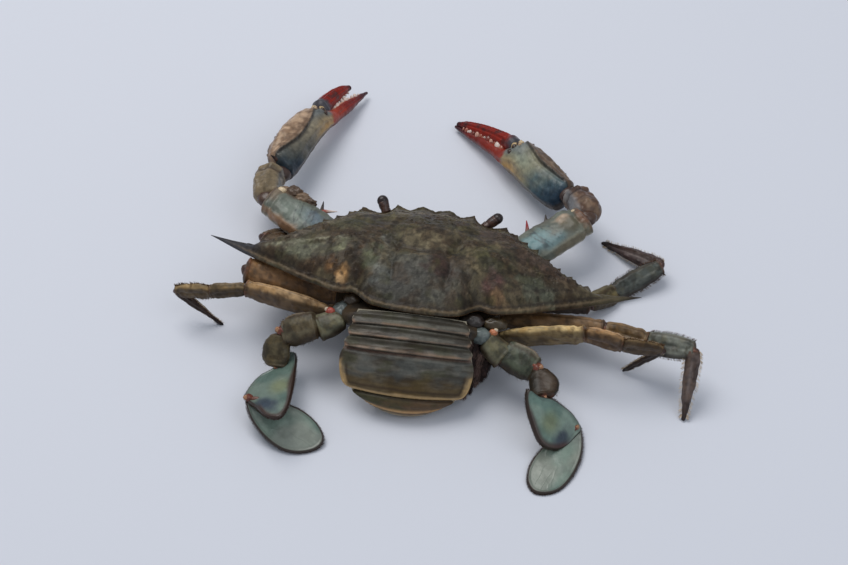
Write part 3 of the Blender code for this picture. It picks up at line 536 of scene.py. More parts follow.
def shell_detail(x, y, edge, front):
    """Fine relief of the shell's top, in millimetres: folds, the beaded rim and granules."""
    ax = np.abs(x)
    place = grid(x, y, 0.0)
    beads = 0.7 + 0.6 * cloud(place, 0.9, 71, 1)
    height = 0.20 * cloud(place, 5.0, 31, 3) + 0.10 * cloud(place, 1.9, 33, 2)
    for line, rise, width in FOLDS:
        height += rise * near_line(ax, y, line, width) * (beads if rise > 0 else 1)
    fields = patches(place, 9.0, 23, -0.2, 0.6, 2) * ramp(6, 16, np.hypot(ax, y + 20))
    height += np.maximum(0, cloud(place, 1.0, 11, 2) - 0.2) * (0.14 + 0.40 * fields)
    rim = np.where(front, 0.25, 0.34) * ramp(74, 60, ax)
    height += rim * hill(edge, 1.0, 0.6) * beads - 0.8 * rim * hill(edge, 2.5, 0.8)
    return height * ramp(0.1, 0.8, edge) * ramp(78, 68, ax)


# Markings of the shell, all of it: (x, y, reach across, reach along, colour, strength)
MARKINGS = ((0.0, -20.0, 20.0, 12.0, (70, 73, 71), 0.60), (3.0, 12.0, 15.0, 5.5, (52, 47, 34), 0.75),
            (24.0, 10.0, 13.0, 7.5, (62, 50, 43), 0.75), (36.0, -0.5, 11.0, 5.0, (62, 50, 43), 0.75),
            (47.0, -4.0, 9.0, 3.0, (66, 52, 46), 0.60), (25.8, -6.5, 9.5, 6.5, (48, 47, 32), 0.75),
            (20.0, -24.5, 7.0, 4.5, (38, 33, 26), 0.70), (-41.0, -9.5, 10.0, 3.8, (112, 115, 96), 0.80),
            (-33.0, -10.8, 5.0, 3.4, (108, 110, 88), 0.70), (-47.0, -12.6, 9.0, 2.0, (88, 88, 74), 0.50),
            (-37.0, -14.6, 8.5, 2.4, (60, 46, 32), 0.75), (-31.3, -16.6, 3.4, 2.6, (92, 66, 40), 0.70),
            (-27.6, -18.4, 2.6, 3.0, (148, 114, 74), 0.85), (-28.0, -20.4, 1.6, 1.4, (170, 140, 104), 0.70),
            (-21.8, -17.4, 3.2, 3.8, (46, 34, 22), 0.85), (-18.1, -12.6, 3.4, 4.4, (74, 80, 58), 0.60),
            (-25.0, -9.5, 1.8, 4.6, (56, 50, 36), 0.70), (-13.4, -3.4, 2.6, 2.6, (110, 114, 110), 0.65),
            (0.4, -1.5, 9.5, 4.8, (102, 94, 74), 0.70), (-12.8, -22.1, 2.8, 1.6, (42, 42, 40), 0.65),
            (-8.2, -24.4, 3.0, 1.8, (44, 44, 42), 0.60), (7.0, -14.4, 4.4, 4.6, (56, 40, 36), 0.80),
            (26.1, -15.2, 4.2, 3.2, (72, 48, 48), 0.75), (28.9, -19.2, 3.0, 2.4, (128, 102, 76), 0.80),
            (32.0, -20.0, 2.8, 1.6, (128, 108, 82), 0.55), (41.8, -11.5, 8.5, 3.6, (88, 94, 82), 0.65),
            (17.0, -8.0, 2.4, 4.0, (84, 74, 56), 0.50), (-30.0, 4.0, 9.0, 5.0, (74, 74, 58), 0.50),
            (-14.0, -18.5, 4.0, 3.0, (92, 98, 96), 0.40))
# Lines painted on it: a broken line, half width, colour, strength
LINES = ((((-50.0, -4.2), (-41.0, -1.4), (-36.4, 3.6), (-28.8, 9.9), (-19.0, 17.7), (-8.3, 21.0),
           (2.0, 24.6), (11.0, 25.4)), 0.9, (126, 118, 108), 0.6),
         (((-44.4, -5.1), (-32.8, 1.3), (-26.1, 6.2)), 1.8, (46, 46, 32), 0.70),
         (((-57.0, -5.9), (-47.4, -6.5), (-37.0, -5.6), (-28.5, -5.3)), 0.8, (132, 132, 116), 0.70),
         (((57.0, -4.9), (47.0, -6.5), (37.0, -5.8), (28.5, -5.3)), 0.8, (84, 72, 58), 0.60),
         (((-9.8, -2.1), (-7.1, -6.3), (-1.5, -8.7), (10.9, -5.6), (14.6, -1.2)), 0.6, (38, 28, 20), 0.80),
         (((-8.0, -8.2), (-1.5, -10.6), (11.0, -7.8)), 0.6, (112, 98, 72), 0.60),
         (((-23.0, -6.0), (-24.4, -10.0), (-22.6, -15.0)), 0.6, (38, 34, 24), 0.60),
         (((30.0, -16.6), (38.0, -14.0), (50.0, -9.4), (62.0, -4.6)), 0.7, (44, 34, 28), 0.50),
         (((-30.0, -18.6), (-38.0, -16.4), (-50.0, -10.6)), 0.6, (50, 38, 28), 0.50))


def shell_colour(x, y, edge, top, front):
    """The shell's colours; edge is how far a point lies inside the margin, in millimetres."""
    place = grid(x, y, 0.0)
    ax = np.abs(x)
    coat = Paint(mix(srgb(88, 80, 62), srgb(64, 54, 42), patches(place, 12.0, 41, -0.5, 0.5)), place)
    wobble = 1 + 0.5 * cloud(place, 3.2, 53, 3)
    for mx, my, rx, ry, shade, strength in MARKINGS:
        away = np.hypot((x - mx) / rx, (y - my) / ry) * wobble
        coat.lay(srgb(*shade) * 1.05, min(1.0, strength * 1.15) * ramp(1.35, 0.45, away))
    broken = patches(place, 2.4, 59, -1.1, 0.0, 2)
    for line, width, shade, strength in LINES:
        coat.over(shade, strength * near_line(x, y, line, width) * broken)
    coat.blots((52, 38, 24), 0.60, 4.2, 43, 0.05, 0.55)
    coat.blots((72, 72, 44), 0.35, 5.2, 45, 0.15, 0.6)
    coat.blots(1.75, 0.65, 1.2, 11, 0.12, 0.5, 2)
    coat.blots(0.40, 0.70, 1.7, 67, 0.12, 0.55)
    coat.over((34, 27, 18), 0.45 * ramp(0.05, 0.0, np.abs(cloud(place, 3.4, 69, 3))))
    # Painted shade darkens the grooves and a painted highlight lightens the swellings.
    hollow = relief(x, y)
    coat.over(0.62, 0.8 * ramp(0.0, -0.5, hollow))
    coat.over(1.25, 0.6 * ramp(0.6, 1.6, hollow))
    left_spine = mix(srgb(60, 62, 70), srgb(34, 34, 38), ramp(2.5, 0.4, edge) * front)
    right_spine = mix(srgb(86, 80, 62), srgb(52, 46, 40), ramp(70, 78, ax))
    spine = mix(left_spine, right_spine, ramp(-10, 10, x))
    coat.lay(spine, ramp(58, 64, ax + 1.2 * cloud(place, 3, 61, 2)))
    inner = ramp(76, 62, ax)
    wear_and_highlight = 0.75 + 0.25 * patches(place, 6.0, 73, -0.5, 0.5, 2)
    coat.over((36, 27, 20), 0.75 * hill(edge, 1.9, 0.6) * inner * (1 - 0.6 * front))
    coat.over((118, 100, 76), 0.65 * wear_and_highlight * hill(edge, 0.8, 0.42) * inner * (1 - 0.75 * front))
    coat.over((56, 44, 36), 0.6 * ramp(1.6, 0.4, edge) * front * inner)
    # The underside darkens to brown towards the rear margin: painted shade under the lip.
    under = Paint(mix(srgb(176, 164, 140), srgb(92, 64, 40), ramp(11, 1.0, edge) * (1 - front)), place)
    under.blots(0.6, 0.7, 3.0, 47, 0.1, 0.6)
    return mix(under.tint, coat.tint * (0.90, 0.86, 0.80), top)


def make_shell():
    """The shell, from spine tip to spine tip, in rings that run front to rear."""
    right = front_margin()
    margin_x, front_y, front_rim = np.array([(-x, y, rim) for x, y, rim in right[:0:-1]] + right).T
    top_steps, under_steps = 92, 24
    # Behind the teeth the rings are evenly spaced: there they follow the margin's places, smoothed.
    reach = 8
    padded = np.pad(margin_x, reach, "edge")
    inner_x = np.convolve(padded, np.ones(2 * reach + 1) / (2 * reach + 1), "valid")
    inner_x = inner_x + (margin_x - inner_x) * ramp(68, 78, np.abs(margin_x))
    ax = np.abs(inner_x)
    rear_y = curve(REAR, ax)
    crest_y = rear_y + (curve(FRONT_LINE, ax) - rear_y) * CREST_SHARE
    rear_y = rear_y + REAR_NOTCH[2] * hill(ax, REAR_NOTCH[0], REAR_NOTCH[1])
    level = np.maximum(0.0, 1 - (ax / DOME_REACH) ** 2.4)
    half = RIM_HALF * np.minimum(1.0, (SPINE_TIP[0] - ax) / 14 + 0.1)
    middle = margin_height(inner_x, 0.0)
    rows = []
    for outer_x, outer_y, rim, power, flare, front in ((margin_x, front_y, front_rim, 2.2, 0.45, 1.0),
                                                       (inner_x, rear_y, 1.2, 2.8, 0.0, 0.0)):
        edge_y = outer_y + (crest_y - outer_y) * np.minimum(0.6, rim / np.abs(outer_y - crest_y))
        margin = margin_height(outer_x, edge_y)
        side = []
        for share in (np.arange(top_steps + 1) / top_steps) ** 0.8:
            x = inner_x + (outer_x - inner_x) * ramp(0.72, 0.99, share)
            y = crest_y + (edge_y - crest_y) * share
            fall = (1 - flare) * share ** power + flare * (1 - math.cos(math.pi * share)) / 2
            z = half + (middle + DOME * level) * (1 - fall) + margin * fall
            side.append((x, y, z + relief(x, y) * level * (1 - share ** 6), 1.0))
        for turn in np.radians((62, 36, 12, -12, -36, -62)):
            y = edge_y + (outer_y - edge_y) * math.cos(turn)
            side.append((outer_x, y, margin_height(outer_x, y) + half * math.sin(turn), float(turn > -0.5)))
        for share in np.arange(under_steps, -1, -1) / under_steps:
            y = crest_y + (edge_y - crest_y) * share
            x = inner_x + (outer_x - inner_x) * ramp(0.72, 0.99, share)
            z = (middle - BELLY * level) * (1 - share ** 1.6) + margin * share ** 1.6 - half
            side.append((x, y, z, 0.0))
        side = [grid(x, y, z, np.abs(outer_y - y), top, front) for x, y, z, top in side]
        rows += side if front else side[-2:0:-1]
    x, y, z, edge, top, front = np.moveaxis(np.stack(rows, axis=1), -1, 0)
    ring = grid(x, y, z + shell_detail(x, y, edge, front > 0.5) * top)
    tips = [(side * SPINE_TIP[0], SPINE_TIP[1], margin_height(*SPINE_TIP)) for side in (-1, 1)]
    points = to_world(np.concatenate([ring.reshape(-1, 3), tips]))
    tint = shell_colour(x, y, edge, top, front)
    tint = np.concatenate([tint.reshape(-1, 3), [srgb(44, 40, 38)] * 2])
    add_mesh("shell", points, grid_faces(*x.shape), "shell", tint, "carapace")


# ================================================================ the rest of the body
# The mass under the shell, from front to rear: (y, half breadth, top, bottom)
THORAX = ((26, 0.5, -8.5, -9.5), (23, 11, -5, -13), (15, 21, -3, -17), (5, 28, -3, -18.5),
          (-8, 30, -3, -18.5), (-19, 29, -3, -17), (-26, 26, -1.5, -14), (-31, 20, 0, -9),
          (-34, 0.5, -3.3, -3.7))


def make_thorax():
    """The mass under the shell that carries the legs, with the breastplate on its underside."""
    sides, between = 96, 14
    table = [(i, *station) for i, station in enumerate(THORAX)]
    places = np.linspace(0, len(table) - 1, between * (len(table) - 1) + 1)[:, None]
    y, half, top, bottom = (curve(table, places, k) for k in (1, 2, 3, 4))
    angle = np.arange(sides) * 2 * math.pi / sides
    c, s = np.cos(angle), np.sin(angle)
    x = np.sign(c) * np.abs(c) ** 0.75 * np.maximum(half, 0.4)
    z = (top + bottom) / 2 + np.sign(s) * np.abs(s) ** 0.75 * (top - bottom) / 2
    # The breastplate's segments are parted by furrows that run outwards, and one down the middle.
    seams = sum(hill(y - np.abs(x) * 0.18, place, 0.7) for place in (17, 9.5, 2, -5.5, -12.5, -19))
    middle = hill(x, 0, 1.1) * ramp(16, 8, y)
    furrow = (0.8 * seams * ramp(3, 8, np.abs(x)) + 0.9 * middle) * ramp(0.0, -0.6, s)
    ring = grid(x, y, z + furrow)
    points = to_world(np.concatenate([ring.reshape(-1, 3), [(0, 26.2, -9), (0, -34.2, -3.5)]]))
    below = Paint(mix(srgb(206, 200, 184), srgb(168, 172, 168), patches(ring, 7, 5, -0.2, 0.5)), ring)
    # Painted shade darkens the breastplate's furrows.
    below.over((150, 138, 116), np.clip(furrow, 0, 1) * 0.7)
    above = mix(srgb(66, 54, 40), srgb(40, 34, 28), patches(ring, 4, 6, -0.4, 0.5))
    tint = mix(above, below.tint, ramp(0.2, -0.4, s) * ramp(-30, -20, y))
    tint = np.concatenate([tint.reshape(-1, 3), [srgb(150, 145, 130)] * 2])
    add_mesh("breastplate", points, grid_faces(len(places), sides), "belly", tint, "thorax")


# How each plate's sides stand out or draw in along it: (place, breadth as a share of its straight sides)
PLATE_SIDES = {"abdomen_4": ((0, 0.97), (0.25, 1.05), (0.55, 1.07), (0.8, 1.05), (0.93, 0.99), (1, 0.90)),
               "abdomen_5": ((0, 1.0), (0.2, 0.98), (0.45, 0.90), (0.7, 0.86), (1, 0.9)),
               "telson": ((0, 1.0), (0.5, 1.08), (0.85, 0.9), (1, 0.6))}
PLAIN_SIDES = ((0, 0.96), (0.5, 1.02), (1, 0.98))


def abdomen_colour(name, across, t, place, inside):
    """The colours of one plate of the abdomen; across runs from -1 to 1, t from 0 to 1."""
    streaks = cloud(place * (0.3, 1.3, 1.3), 2.1, 91, 3)
    blots = cloud(place * (0.5, 1, 1), 3.4, 95, 3)
    ax = np.abs(across)
    dull = patches(place * (0.5, 1, 1), 6, 83, -0.4, 0.5)
    coat = Paint(mix(srgb(86, 88, 84), srgb(52, 46, 38), dull), place)
    coat.over((104, 104, 100), 0.4 * ramp(0.05, 0.5, streaks))
    coat.over((36, 29, 22), 0.5 * ramp(0.02, 0.45, -streaks))
    coat.over((58, 62, 40), 0.5 * ramp(0.1, 0.5, blots))
    if name == "abdomen_4":
        coat.over((74, 82, 84), 0.5 * ramp(-0.1, 0.5, -blots) * ramp(0.75, 0.5, t))
        coat.over((82, 68, 38), 0.75 * ramp(0.45, 0.75, t + 0.15 * blots))
        rim = ramp(1.7, 0.5, inside + 0.5 * streaks) * ramp(0.25, 0.55, t + 0.15 * blots)
        corner = 0.7 * ramp(3.0, 1.0, inside + streaks) * hill(ax, 0.95, 0.09) * hill(t, 0.7, 0.25)
        coat.over((184, 160, 118), 0.9 * np.maximum(rim, corner))
        coat.over((48, 36, 24), 0.7 * hill(inside, 2.6, 0.5) * ramp(0.3, 0.5, t))
        coat.over((120, 94, 84), 0.6 * hill(t, 0.05, 0.03))
    elif name == "abdomen_5":
        coat.tint = mix(srgb(62, 62, 40), srgb(84, 68, 48), ramp(-0.4, 0.4, across + 0.6 * blots))
        # Painted shade where the plate runs in under the one before it.
        coat.over((40, 30, 20), 0.7 * ramp(0.14, 0.04, t))
        coat.over((186, 152, 108), 0.85 * hill(t, 0.40, 0.05))
        coat.over((150, 142, 122), 0.9 * ramp(0.47, 0.6, t))
    elif name in ("abdomen_6", "telson"):
        coat.over((196, 190, 172), 0.9)
    else:
        pink = hill(t, 0.80 + 0.10 * blots, 0.13) * ramp(-0.3, 0.5, streaks + 0.8 * blots)
        coat.over((136, 114, 98), 0.55 * pink)
        coat.over((108, 88, 72), 0.35 * hill(t, 0.86, 0.06))
        # Painted shade along the rear edge, where the next plate runs in under it.
        coat.over((34, 26, 20), 0.7 * ramp(0.92, 0.98, t))
        coat.over((50, 44, 28), 0.6 * hill(t, 0.3, 0.14))
        coat.over((140, 116, 100), 0.5 * ramp(0.93, 0.98, ax) * ramp(0.5, 0.8, t))
    return coat.tint * (1.04, 0.94, 0.85)


def make_abdomen():
    """The seven plates of the broad abdomen, from the shell's rear rim round and in under the body."""
    columns = 110
    count = 2 * (columns + 1)
    across = np.sin(np.linspace(-1, 1, columns + 1) * math.pi / 2)
    across = np.concatenate([across, across[::-1]])
    outer = np.repeat((0.0, 1.0), columns + 1)
    turn = math.radians(ABDOMEN_TURN)
    y, z = ABDOMEN_START
    for name, length, half_a, half_b, bulge, slope_a, slope_b in ABDOMEN:
        # Each plate starts a little way in under the one before it.
        back = math.radians(slope_a)
        run = [(y + math.cos(back) * d, z + math.sin(back) * d) for d in (1.6, 1.2, 0.8, 0.4, 0.0)]
        steps = 56 if length > 5 else 26
        for i in range(steps):
            slope = math.radians(slope_a + (slope_b - slope_a) * (i + 0.5) / steps)
            y -= math.cos(slope) * length / steps
            z -= math.sin(slope) * length / steps
            run.append((y, z))
        y -= math.cos(math.radians(slope_b)) * PLATE_GAP
        z -= math.sin(math.radians(slope_b)) * PLATE_GAP
        last = len(run) - 1
        run_y, run_z = np.array(run).T[..., None]
        t = (np.arange(last + 1) / last)[:, None]
        slope = np.radians(slope_a + (slope_b - slope_a) * t)
        half = (half_a + (half_b - half_a) * t) * curve(PLATE_SIDES.get(name, PLAIN_SIDES), t)
        place = grid(across * half, run_y, run_z)
        thick = PLATE_HALF * np.maximum(1 - across ** 8, 0.03) ** 0.5
        ends = np.sqrt(np.clip(1 - np.abs(2 * t - 1) ** 30, 0.02, 1))
        lift = -bulge * across ** 2 + thick * ends * (2 * outer - 1)
        # Each plate's rear edge is a raised rim, and its front edge dips under the plate before it.
        edges = 0.35 * hill(t, 0.88, 0.09) - 1.0 * ramp(0.16, 0.0, t) - 0.3 * hill(t, 1.0, 0.05)
        folds = 0.18 * cloud(place * (0.25, 1.4, 1.4), 2.0, 97, 3) + 0.05 * cloud(place, 0.9, 98, 2)
        lift = lift + outer * (edges + folds * ramp(1.0, 0.92, np.abs(across)))
        if name == "abdomen_4":
            lift = lift + outer * 0.25 * ramp(0.88, 0.97, np.abs(across))
        if name in ("abdomen_1", "abdomen_2", "abdomen_3"):
            lift = lift - outer * 0.5 * hill(t, 0.45, 0.2)
        back = run_y - np.sin(slope) * lift - ABDOMEN_START[0]
        x = across * half * math.cos(turn) - back * math.sin(turn)
        turned_y = ABDOMEN_START[0] + ABDOMEN_SHIFT + x * math.sin(turn) + back * math.cos(turn)
        points = to_world(grid(x, turned_y, run_z + np.cos(slope) * lift).reshape(-1, 3))
        points[:, 2] = np.maximum(points[:, 2], 0)
        inside = np.minimum(half * (1 - np.abs(across)), (1 - t) * length)
        tint = mix(srgb(150, 142, 124), abdomen_colour(name, across, t, place, inside), outer)
        faces = grid_faces(last + 1, count, poles=False)
        quads = [(k, k + 1, count - 2 - k, count - 1 - k) for k in range(columns)]
        faces += [quad[::-1] for quad in quads]
        faces += [tuple(last * count + corner for corner in quad) for quad in quads]
        add_mesh(name + "_plate", points, faces, "abdomen", tint, name)


# The hairy swimmerets that stand out at the abdomen's right edge: (start, end, half breadth) of each leaf
LEAVES = (((21.0, -28.5, 20.5), (20.0, -44.0, 5.0), 2.4), ((22.8, -29.0, 19.0), (21.6, -42.0, 6.0), 2.6),
          ((25.4, -30.5, 16.5), (23.4, -39.5, 7.5), 2.4), ((27.6, -32.0, 14.5), (25.4, -37.5, 8.5), 1.8))
LEAF = ((0, 0.7, 1.2, 0), (0.3, 1, 1.6, 0), (0.7, 0.9, 1.4, 0), (1, 0.35, 0.7, 0))


def make_pleopods():
    """The swimmerets, each a leaf covered with hair."""
    rng = np.random.default_rng(8)
    hairs = 1500
    for i, (start, end, half) in enumerate(LEAVES):
        leaf = Segment(start, end, (0.9, -0.4, 0.4), scaled(LEAF, half), 60, 36)
        leaf.carve(grains=((1.5, 0.25, 51 + i),))
        leaf.tint = mix(srgb(76, 58, 54), srgb(34, 26, 26), patches(leaf.points, 1.6, i, -0.3, 0.3))
        leaf.make(f"pleopod_{i + 1}", "hair", "" if i else "pleopods_right")
        pick = rng.integers(0, 60, hairs), rng.integers(0, 36, hairs)
        lean = leaf.out[pick] * 0.6 + leaf.axis * 1.2 + rng.normal(0, 0.25, (hairs, 3))
        colour = srgb(52, 40, 38) if i % 2 else srgb(112, 92, 84)
        bristles(f"pleopod_hair_{i + 1}", leaf.points[pick], lean, 1.4, 0.05, colour, 0.2, 9 + i)


EYES = {"right": ((18.6, 27.2, 0.2), (24.7, 31.0, 4.3)), "left": ((-18.0, 27.2, 0.6), (-20.8, 31.4, 4.8))}
STALK = ((0, 1.8, 1.7, 0), (0.35, 1.7, 1.6, 0), (0.6, 1.95, 1.85, 0), (1, 2.05, 1.9, 0))


def make_eye(side):
    """An eye on its stalk, leaning out of the orbit."""
    root, tip = to_world(EYES[side])
    stalk = Segment(root, root + (tip - root) * 0.8, BODY_UP, STALK, 40, 36, (1.0, 1.0))
    stalk.carve(grains=((0.8, 0.08, 4),))
    stalk.tint = mix(srgb(48, 32, 30), srgb(80, 56, 46), patches(stalk.points, 1.4, 7, -0.4, 0.4))
    stalk.make("eyestalk_" + side, "eye")
    across = unit(np.cross(stalk.axis, UP))
    knob("eye_ball_" + side, root + (tip - root) * 0.78, (2.15, 1.9, 2.2), (38, 26, 26),
         (across, np.cross(stalk.axis, across), stalk.axis), 3, 0.02, 48, "eye", "eye_" + side)


# The feelers' profiles, for a half breadth of one, and their places on the right
STOUT = ((0, 0.9, 0.85, 0), (0.5, 1, 0.9, 0), (1, 0.8, 0.75, 0))
TAPER = ((0, 1, 1, 0), (1, 0.5, 0.5, 0))
THREAD = ((0, 0.45, 0.45, 0), (1, 0.22, 0.22, 0))
FEELER_ROOT, FEELER_TIP = (13.0, 27.0, -5.2), (18.5, 39.5, -5.6)
ANTENNULE = (6.0, 28.5, -3.6)


def make_antenna(side):
    """A stout base of three pieces, a thin feeler along under the front of the shell, and two antennules."""
    base, dull = (120, 110, 92), (128, 112, 92)
    pieces = [(f"antenna_base_{side}_{i + 1}", lerp(FEELER_ROOT, FEELER_TIP, a),
               lerp(FEELER_ROOT, FEELER_TIP, b), size, STOUT, 14, 20, 0.5, base)
              for i, (a, b, size) in enumerate(((0.0, 0.14, 1.5), (0.12, 0.22, 1.2), (0.20, 0.30, 0.8)))]
    pieces.append(("feeler_" + side, lerp(FEELER_ROOT, FEELER_TIP, 0.28), FEELER_TIP, 1, THREAD, 90, 10, 0.3,
                   (92, 78, 60)))
    for i, (end, size) in enumerate((((9.6, 30.1, -4.4), 0.9), ((7.2, 30.9, -3.4), 0.55))):
        pieces.append((f"antennule_{side}_{i + 1}", ANTENNULE, end, size, TAPER, 12, 14, 0.4, dull))
    for name, start, end, size, profile, rings, sides, cap, colour in pieces:
        start, end = to_world(np.array((start, end)) * (SIDES[side], 1, 1))
        part = Segment(start, end, BODY_UP, scaled(profile, size, size), rings, sides, (cap, cap))
        if profile is THREAD:
            part.lift(0.05 * np.sin(part.t * 2 * math.pi * 24))
        part.paint(srgb(*colour))
        part.make(name, "shell", "antenna_" + side if name.endswith("base_" + side + "_1") else "")


DOOR = ((0, 3.2, 1.1, 0), (0.3, 4.4, 1.3, 0), (0.7, 4.2, 1.3, 0), (1, 3.0, 1.0, 0))
PALP = ((0, 1.3, 0.9, 0), (0.7, 1.1, 0.8, 0), (1, 0.6, 0.5, 0))


def make_mouth(side):
    """One of the two doors over the mouth, with its long plate, end pieces and outer palp."""
    ends = np.array(((6.0, 20.5, -19.0), (6.6, 27.6, -6.5), (11.4, 20.0, -17.0), (11.2, 27.0, -6.8)))
    root, tip, palp_root, palp_tip = to_world(ends * (SIDES[side], 1, 1))
    run = tip - root
    face = BODY[:3, :3] @ np.array((0, 0.9, -0.4))
    pale, dull = srgb(196, 188, 168), srgb(160, 152, 130)
    for i, (a, b) in enumerate(((0.0, 0.52), (0.54, 0.86), (0.86, 1.0))):
        part = Segment(root + run * a, root + run * b, face, scaled(DOOR, 1 - 0.12 * i), 26, 40, (0.8, 0.8))
        part.carve(((60, 14, -0.35),), grains=((1.2, 0.08, 9),))
        part.tint = mix(pale, dull, patches(part.points, 2.4, 17, -0.4, 0.4))
        part.make(f"mouth_door_{side}_{i + 1}", "belly", "" if i else "maxilliped_" + side)
    palp = Segment(palp_root, palp_tip, face, PALP, 30, 20, (0.6, 0.5))
    palp.paint(dull)
    palp.make("mouth_palp_" + side, "belly")


# ================================================================ legs
def joints_of(leg, side):
    """The points where a leg's segments meet, from its start to its tip."""
    start, turns = POSE[leg, side]
    points = [to_world(start)]
    for length, turn in zip(LENGTHS[leg], np.radians(turns)):
        (out, ahead), (level, up) = ((math.cos(a), math.sin(a)) for a in turn)
        points.append(points[-1] + np.array((SIDES[side] * out * level, ahead * level, up)) * length)
    return points


# Each walking leg's colours from the body outwards, first to third leg
LEG_TINTS = {"right": (((66, 58, 48), (78, 70, 46), (60, 64, 60), (54, 40, 39)),
                       ((116, 92, 66), (104, 82, 54), (96, 98, 90), (80, 68, 64)),
                       ((186, 160, 112), (164, 128, 88), (114, 92, 62), (56, 42, 36))),
             "left": (((74, 60, 44), (78, 62, 44), (96, 82, 62), (74, 60, 54)),
                      ((120, 90, 60), (112, 92, 64), (98, 88, 66), (72, 58, 50)),
                      ((152, 124, 90), (106, 88, 60), (134, 112, 78), (60, 44, 40)))}
# How much broader each of their segments is than the common profile, and which way a leg's broad side looks
BROADER = {"right": ((1.0, 1.1, 1.06, 1.15), (0.85, 1.1, 1.25, 1.05), (1.25, 1.6, 1.3, 0.7)),
           "left": ((1.0, 1.0, 1.0, 1.0), (1.35, 1.0, 1.0, 1.0), (1.12, 1.05, 1.05, 0.7))}
LEG_FACES = {("walking_leg_1", "right"): (0.1, -0.5, 0.85), ("walking_leg_2", "left"): (-0.1, -0.6, 0.8)}
# The way the painted light on the legs comes from: faces turned towards it are painted pale and faces turned
# away dark.
PAINTED_LIGHT_DIRECTION = unit((0.0, 0.55, 0.83))
LEG_CAPS = ((1.6, 1.2), (1.8, 1.2), (1.8, 2.0), (1.6, 0.5))
HIP_PROFILE = ((0, 4.2, 3.6, 0), (0.5, 3.9, 3.2, 0), (1, 3.0, 2.3, 0))


def paint_leg(part, base, seed, ends):
    """A leg segment's colours: lengthwise streaks, a painted highlight along its upper edge, painted shade
    along its lower one, and dark joints.
    """
    base = srgb(*base) * 1.15
    t, angle = part.t, part.angle
    streaks = cloud(grid(t * part.length * 0.22, np.cos(angle) * 1.6, np.sin(angle) * 1.6), 0.9, seed, 3)
    part.paint(base)
    part.lay(base * 1.5, 0.7 * ramp(0.0, 0.5, streaks))
    part.lay(base * 0.42, 0.8 * ramp(0.0, 0.5, -streaks))
    part.lay(base * (0.42, 0.36, 0.30), 0.7 * patches(part.place, 1.7, seed + 3, 0.1, 0.5))
    part.lay(base * (1.3, 1.15, 0.9), 0.5 * patches(part.place, 2.6, seed + 5, 0.15, 0.5))
    # Painted light: faces turned up and forward get a painted highlight, faces turned away painted shade,
    # with a thin dark line just below the highlight.
    top = part.out @ PAINTED_LIGHT_DIRECTION
    wear_and_highlight = hill(top, 0.97, 0.10) * ramp(0.04, 0.14, t) * ramp(0.97, 0.88, t)
    part.lay(base * (1.4, 1.4, 1.45) + 0.02, 0.6 * wear_and_highlight)
    part.over((44, 30, 20), 0.75 * ramp(0.22, -0.25, top))
    part.over((56, 36, 22), 0.55 * hill(top, 0.80, 0.06))
    near_joint = ramp(0.92, 0.985, t) * ends[1] + ramp(0.09, 0.02, t) * ends[0]
    red = mix(srgb(58, 38, 26), srgb(102, 60, 42), patches(part.place, 1.4, seed, 0.0, 0.4, 2))
    part.lay(red, 0.85 * np.clip(near_joint, 0, 1))


